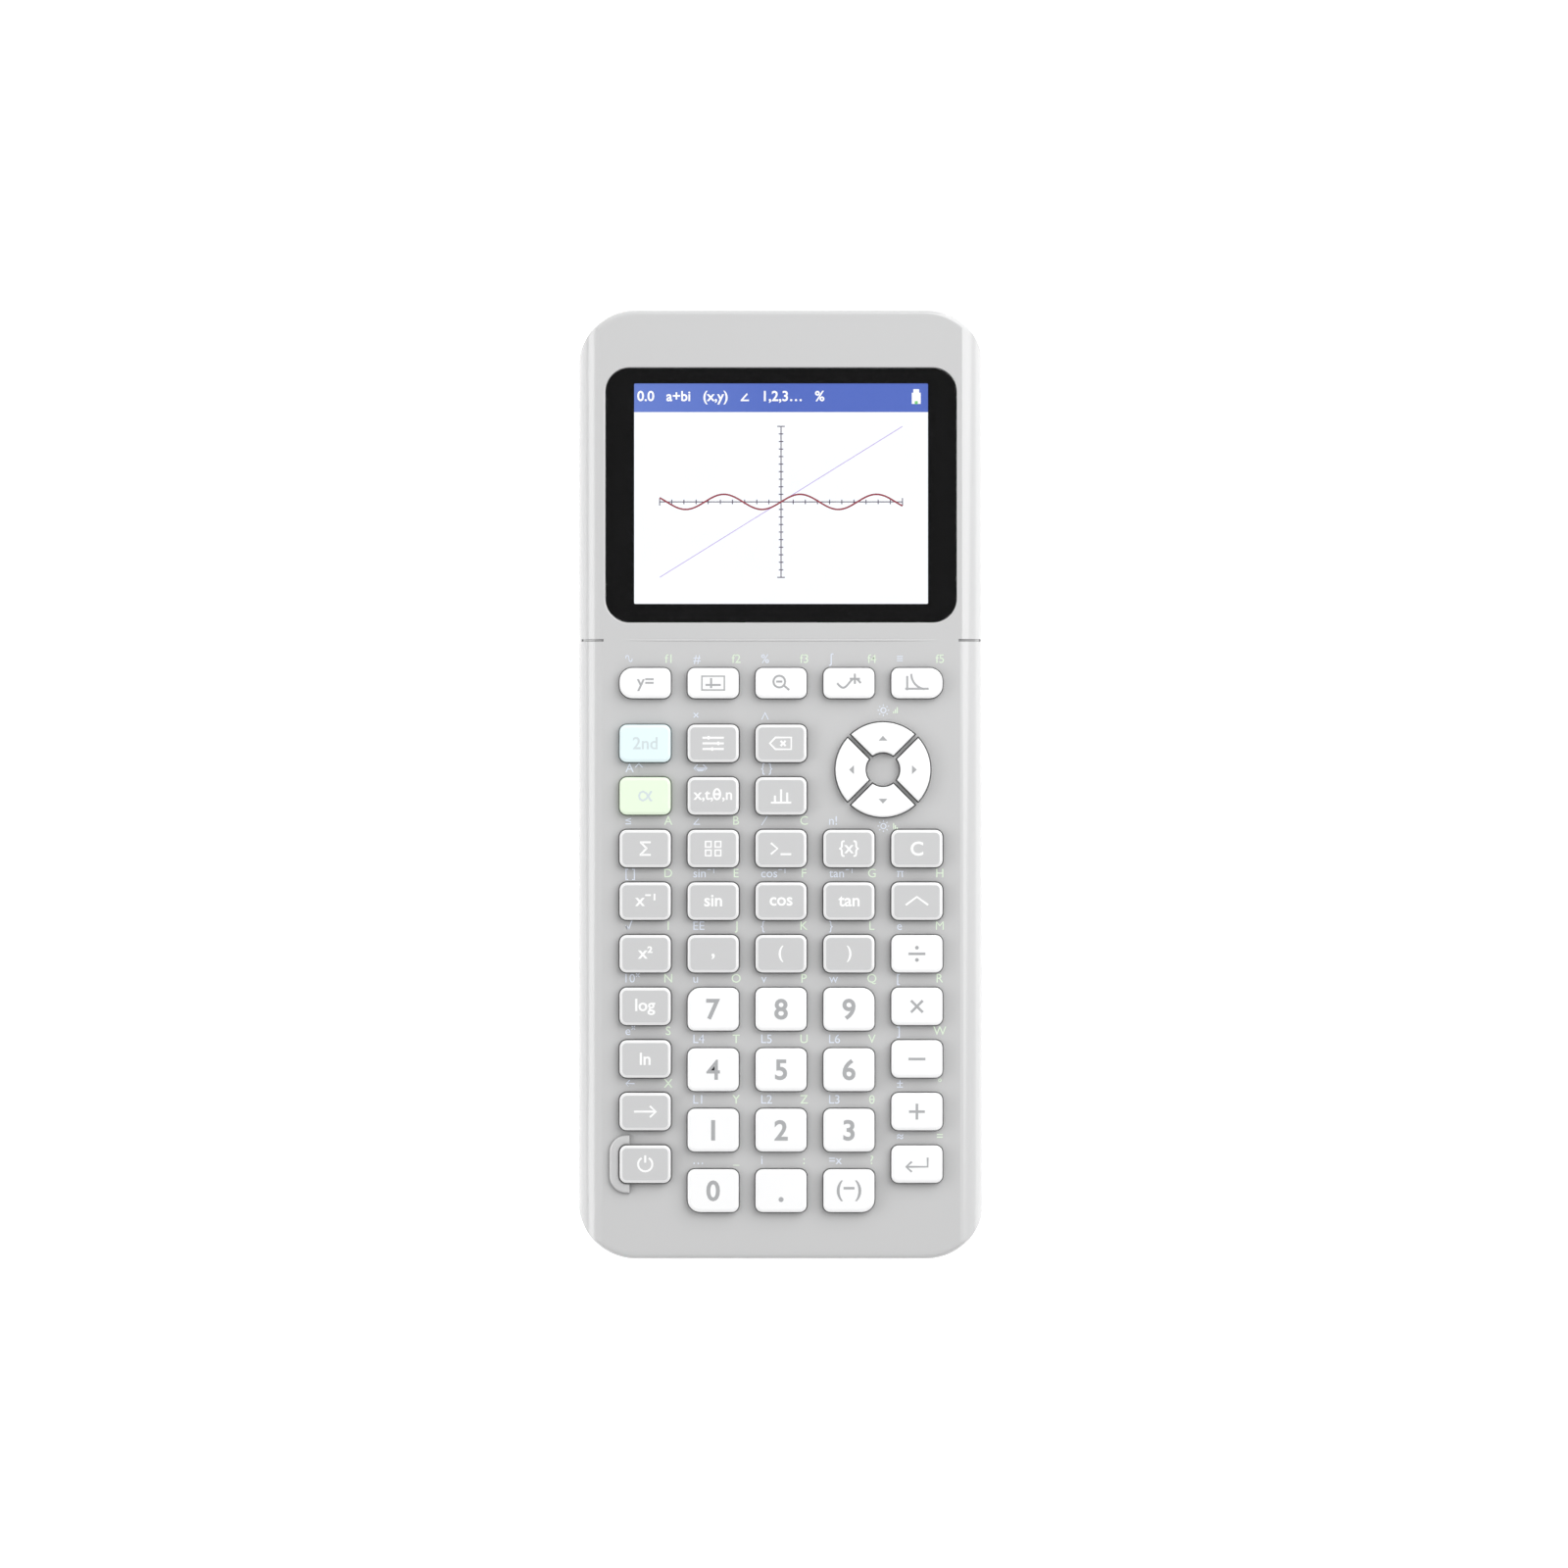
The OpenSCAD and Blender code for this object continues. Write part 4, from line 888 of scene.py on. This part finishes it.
SCREEN_GLOW = 1.05
screen_white = lit("picture_white", screen_colour(249, 251, 255), SCREEN_GLOW)
bar_fade = (-30, 0, screen_colour(104, 128, 205))
screen_blue = lit("picture_blue", screen_colour(84, 108, 192), SCREEN_GLOW, bar_fade)
screen_ink = lit("picture_words", screen_colour(255, 255, 255), SCREEN_GLOW)
screen_axes = lit("picture_axes", screen_colour(86, 78, 98), SCREEN_GLOW)
screen_red = lit("picture_red", screen_colour(150, 70, 80), SCREEN_GLOW)
screen_lavender = lit("picture_lavender", screen_colour(190, 170, 222), SCREEN_GLOW)
screen_green = lit("picture_green", screen_colour(120, 200, 120), SCREEN_GLOW)
plate("picture_field", PICTURE_C, PICTURE_W + 1, PICTURE_H + 1, PICTURE_Z - 0.2, PICTURE_Z, screen_white)
plate("picture_bar", (PICTURE_C[0], BAR_Y + 0.25), PICTURE_W + 1, BAR_H + 0.5,
      PICTURE_Z + 0.005, PICTURE_Z + 0.02, screen_blue)
for group, rise, material in (("picture_line", 0.03, screen_lavender), ("picture_axes", 0.04, screen_axes),
                              ("picture_sine", 0.06, screen_red), ("picture_words", 0.05, screen_ink),
                              ("picture_charge", 0.08, screen_green)):
    ink_piece(group, groups[group], PICTURE_Z + rise, material)

# ---- Guard of the power key and bead under the display ----
(guard_x, guard_y), guard_key_w, guard_key_h, _, _ = CAPS["key_on"]
bm = bmesh.new()
outer = rounded_face(
    bm, (guard_x, guard_y), guard_key_w + 2 * GUARD_W, guard_key_h + 2 * GUARD_W, [KEY_R + GUARD_W] * 4,
    FACE_Z - GUARD_SEAT, segments=12,
)
inset(bm, outer, GUARD_W - KEY_GAP)
bmesh.ops.delete(bm, geom=[outer], context="FACES_ONLY")
end_x = guard_x - guard_key_w / 2 + GUARD_ARM
bmesh.ops.bisect_plane(bm, geom=bm.verts[:] + bm.edges[:] + bm.faces[:], plane_co=(end_x, 0, 0),
                       plane_no=(1, 0, 0), clear_outer=True)
made = bmesh.ops.extrude_face_region(bm, geom=bm.faces[:], use_keep_orig=True)["geom"]
raised = [g for g in made if isinstance(g, bmesh.types.BMVert)]
bmesh.ops.translate(bm, vec=(0, 0, GUARD_H + GUARD_SEAT), verts=raised)
rim = [e for e in bm.edges if all(v.co.z > FACE_Z + 0.1 for v in e.verts) and len(e.link_faces) == 2
       and e.calc_face_angle() > 1]
bmesh.ops.bevel(bm, geom=rim, offset=0.45, segments=4, profile=0.5, affect="EDGES", material=-1)
to_piece("power_guard", bm, case_gloss)

BEAD_H = 0.12
BEAD_R = 0.3
bm = bmesh.new()
bmesh.ops.create_cone(bm, cap_ends=True, segments=24, radius1=BEAD_R, radius2=BEAD_R, depth=BEAD_L)
bmesh.ops.rotate(bm, matrix=Matrix.Rotation(math.pi / 2, 3, "Y"), verts=bm.verts)
for i in range(1, 24):
    bmesh.ops.bisect_plane(bm, geom=bm.verts[:] + bm.edges[:] + bm.faces[:],
                           plane_co=(BEAD_L * (i / 24 - 0.5), 0, 0), plane_no=(1, 0, 0))
for v in bm.verts:
    v.co.z += FACE_Z + BEAD_H - BEAD_R - BEAD_H * (2 * abs(v.co.x) / BEAD_L) ** 6
bmesh.ops.translate(bm, vec=(0, SEAM_Y, 0), verts=bm.verts)
to_piece("face_bead", bm, case_gloss)

# ---- Board and what is soldered to it ----
BOARD_RISE, BOARD_T, BOARD_GAP = 0.6, 1.2, 0.5
BOARD_TOP = case_low.z + BOARD_RISE
BOARD_LOW = BOARD_TOP - BOARD_T
bm = bmesh.new()
edge = WALL + BOARD_GAP
face = rounded_face(
    bm, (0, 0), 2 * (HALF_W - edge), 2 * (HALF_L - edge), [CORNER_R - edge] * 4, BOARD_LOW, segments=10
)
raise_face(bm, face, BOARD_TOP - BOARD_LOW)
to_piece("board", bm, board_laminate(), replaces=["circuit_board"])
bm = bmesh.new()
# Each chip: x, distance up from the seam, width, length and height.
for x, up, w, l, h in ((0, 36, 14, 14, 1.4), (-19.5, 38, 11, 8, 1.1), (16, 38, 8, 6, 1),
                       (-21.5, 18, 5, 5, 2.2), (13, 18, 6, 5, 1.6), (0, 7, 3.6, 3.6, 1.8)):
    y = SEAM_Y + up
    soft_box(bm, (x - w / 2, y - l / 2, BOARD_LOW - h), (x + w / 2, y + l / 2, BOARD_LOW), 0.15)
soft_box(bm, (-8, SEAM_Y - 1.8, BOARD_TOP), (8, SEAM_Y + 1.8, BOARD_TOP + 0.6), 0.12)
to_piece("board_chips", bm, chip_black)
bm = bmesh.new()
battery_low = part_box("battery_pack")[0] / MM
for i in (-1, 0, 1):
    soft_box(bm, (5 * i - 0.6, battery_low.y + 0.3, BOARD_LOW - 2.2),
             (5 * i + 0.6, battery_low.y + 0.9, BOARD_LOW), 0.1)
to_piece("board_contacts", bm, contact_gold)

SOCKET_DOWN = 31
LIGHT_OFF = 9
SOCKET_Y = HALF_L - SOCKET_DOWN
SOCKET_W, SOCKET_H, SOCKET_L, SOCKET_SHEET, SOCKET_SINK = 7.7, 3.9, 9.2, 0.4, 0.5
SOCKET_Z = BOARD_LOW - SOCKET_H / 2
bm = bmesh.new()
back = rounded_face(bm, (0, 0), SOCKET_W, SOCKET_H, [0.9, 0.9, 0.5, 0.5], -SOCKET_L, segments=5)
mouth = raise_face(bm, back, SOCKET_L)
inset(bm, mouth, SOCKET_SHEET)
raise_face(bm, mouth, 1 - SOCKET_L)
turn = Matrix(((0, 0, 1), (1, 0, 0), (0, 1, 0))).to_4x4()
place = Matrix.Translation((HALF_W - SOCKET_SINK, SOCKET_Y, SOCKET_Z)) @ turn
bmesh.ops.transform(bm, matrix=place, verts=bm.verts)
to_piece("socket_shell", bm, socket_steel)
bm = bmesh.new()
soft_box(bm, (HALF_W - SOCKET_SINK - SOCKET_L + 1.2, SOCKET_Y - 2.1, SOCKET_Z - 0.5),
         (HALF_W - SOCKET_SINK - 1.2, SOCKET_Y + 2.1, SOCKET_Z + 0.5), 0.12)
to_piece("socket_tongue", bm, chip_black)
bm = bmesh.new()
for i in range(5):
    y = SOCKET_Y - 1.4 + 0.7 * i
    box_at(bm, (HALF_W - 6, y - 0.15, SOCKET_Z - 0.55),
           (HALF_W - SOCKET_SINK - 1.6, y + 0.15, SOCKET_Z - 0.48))
to_piece("socket_contacts", bm, contact_gold, weighted=False)

LIGHT_D = 1.6
bm = bmesh.new()
bmesh.ops.create_cone(bm, cap_ends=True, segments=32, radius1=LIGHT_D / 2, radius2=LIGHT_D / 2, depth=4)
top = max(bm.faces, key=lambda f: f.calc_center_median().z)
round_over(bm, top, 0.5, 0.3, steps=4)
bmesh.ops.transform(
    bm,
    matrix=Matrix.Translation((HALF_W - 2.5, SOCKET_Y - LIGHT_OFF, SOCKET_Z))
    @ Matrix.Rotation(math.pi / 2, 4, "Y"),
    verts=bm.verts,
)
to_piece("charge_light", bm, charge_light_finish())

# ---- Finishes of the pieces that keep their modelled shape ----
for name, material in (
    ("rear_case", case_back), ("battery_cover", case_back), ("key_mat", silicone),
    ("display_module", frame_steel), ("battery_pack", wrap_black), ("case_screws", screw_steel),
    ("rubber_feet", foot_rubber),
):
    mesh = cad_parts[name].data
    for i in range(len(mesh.materials)):
        mesh.materials[i] = material

# ---- Camera, lights and floor ----
FRAME_W = 0.3072       # width of the picture at the face of the part, in metres
DISTANCE = 2.2
AIM = (0.576, 0.05)    # where the camera looks straight down, in millimetres
camera_data = bpy.data.cameras.new("camera")
camera_data.sensor_width = 36
camera_data.lens = camera_data.sensor_width * DISTANCE / FRAME_W
camera_data.clip_end = 20
camera = bpy.data.objects.new("camera", camera_data)
camera.location = (AIM[0] * MM, AIM[1] * MM, FACE_Z * MM + DISTANCE)
bpy.context.scene.collection.objects.link(camera)
bpy.context.scene.camera = camera


def softbox(name, at, size, power, aim=(0, 0, 0)):
    data = bpy.data.lights.new(name, "AREA")
    data.shape = "RECTANGLE"
    data.size, data.size_y = size
    data.energy = power
    lamp = bpy.data.objects.new(name, data)
    lamp.location = at
    lamp.rotation_euler = (Vector(aim) - Vector(at)).to_track_quat("-Z", "Y").to_euler()
    bpy.context.scene.collection.objects.link(lamp)


softbox("softbox_right", (0.64, 0.54, 0.64), (1.3, 1.0), 11.6)
softbox("softbox_left", (-1.0, 0.0, 0.42), (1.0, 0.5), 5.0)

# The sky over the table: brightest in a ring round the zenith, so every rounded edge catches it.
world = bpy.data.worlds.new("studio")
world.use_nodes = True
sky = world.node_tree
sky_place = sky.nodes.new("ShaderNodeTexCoord")
sky_split = sky.nodes.new("ShaderNodeSeparateXYZ")
sky_ramp = sky.nodes.new("ShaderNodeValToRGB")
sky.links.new(sky_place.outputs["Generated"], sky_split.inputs["Vector"])
sky.links.new(sky_split.outputs["Z"], sky_ramp.inputs["Fac"])
sky_ray = sky.nodes.new("ShaderNodeLightPath")
sky_seen = sky.nodes.new("ShaderNodeMix")
sky_seen.data_type = "RGBA"
sky_seen.inputs["B"].default_value = (1.35, 1.35, 1.35, 1)   # what stands behind the part
sky.links.new(sky_ray.outputs["Is Camera Ray"], sky_seen.inputs["Factor"])
sky.links.new(sky_ramp.outputs["Color"], sky_seen.inputs["A"])
sky_colour = next(out for out in sky_seen.outputs if out.type == "RGBA")
sky.links.new(sky_colour, sky.nodes["Background"].inputs["Color"])
for i, (at, tone) in enumerate(((0.0, 0.5), (0.97, 0.3), (0.55, 0.8), (0.68, 1.0), (0.88, 1.0))):
    stop = sky_ramp.color_ramp.elements[i] if i < 2 else sky_ramp.color_ramp.elements.new(at)
    stop.position = at
    stop.color = (tone, tone, tone, 1)
sky.nodes["Background"].inputs["Strength"].default_value = 0.73
bpy.context.scene.world = world
bpy.context.scene.view_settings.view_transform = "Standard"

bm = bmesh.new()
bmesh.ops.create_grid(bm, x_segments=4, y_segments=4, size=3)
floor_mesh = bpy.data.meshes.new("floor")
bm.to_mesh(floor_mesh)
bm.free()
floor = bpy.data.objects.new("floor", floor_mesh)
bpy.context.scene.collection.objects.link(floor)
paper = Finish("paper").set(Base_Color=(0.9, 0.9, 0.9, 1), Roughness=0.7, Emission_Strength=0.55)
paper.shader.inputs["Emission Color"].default_value = (1, 1, 1, 1)
floor_mesh.materials.append(paper.material)
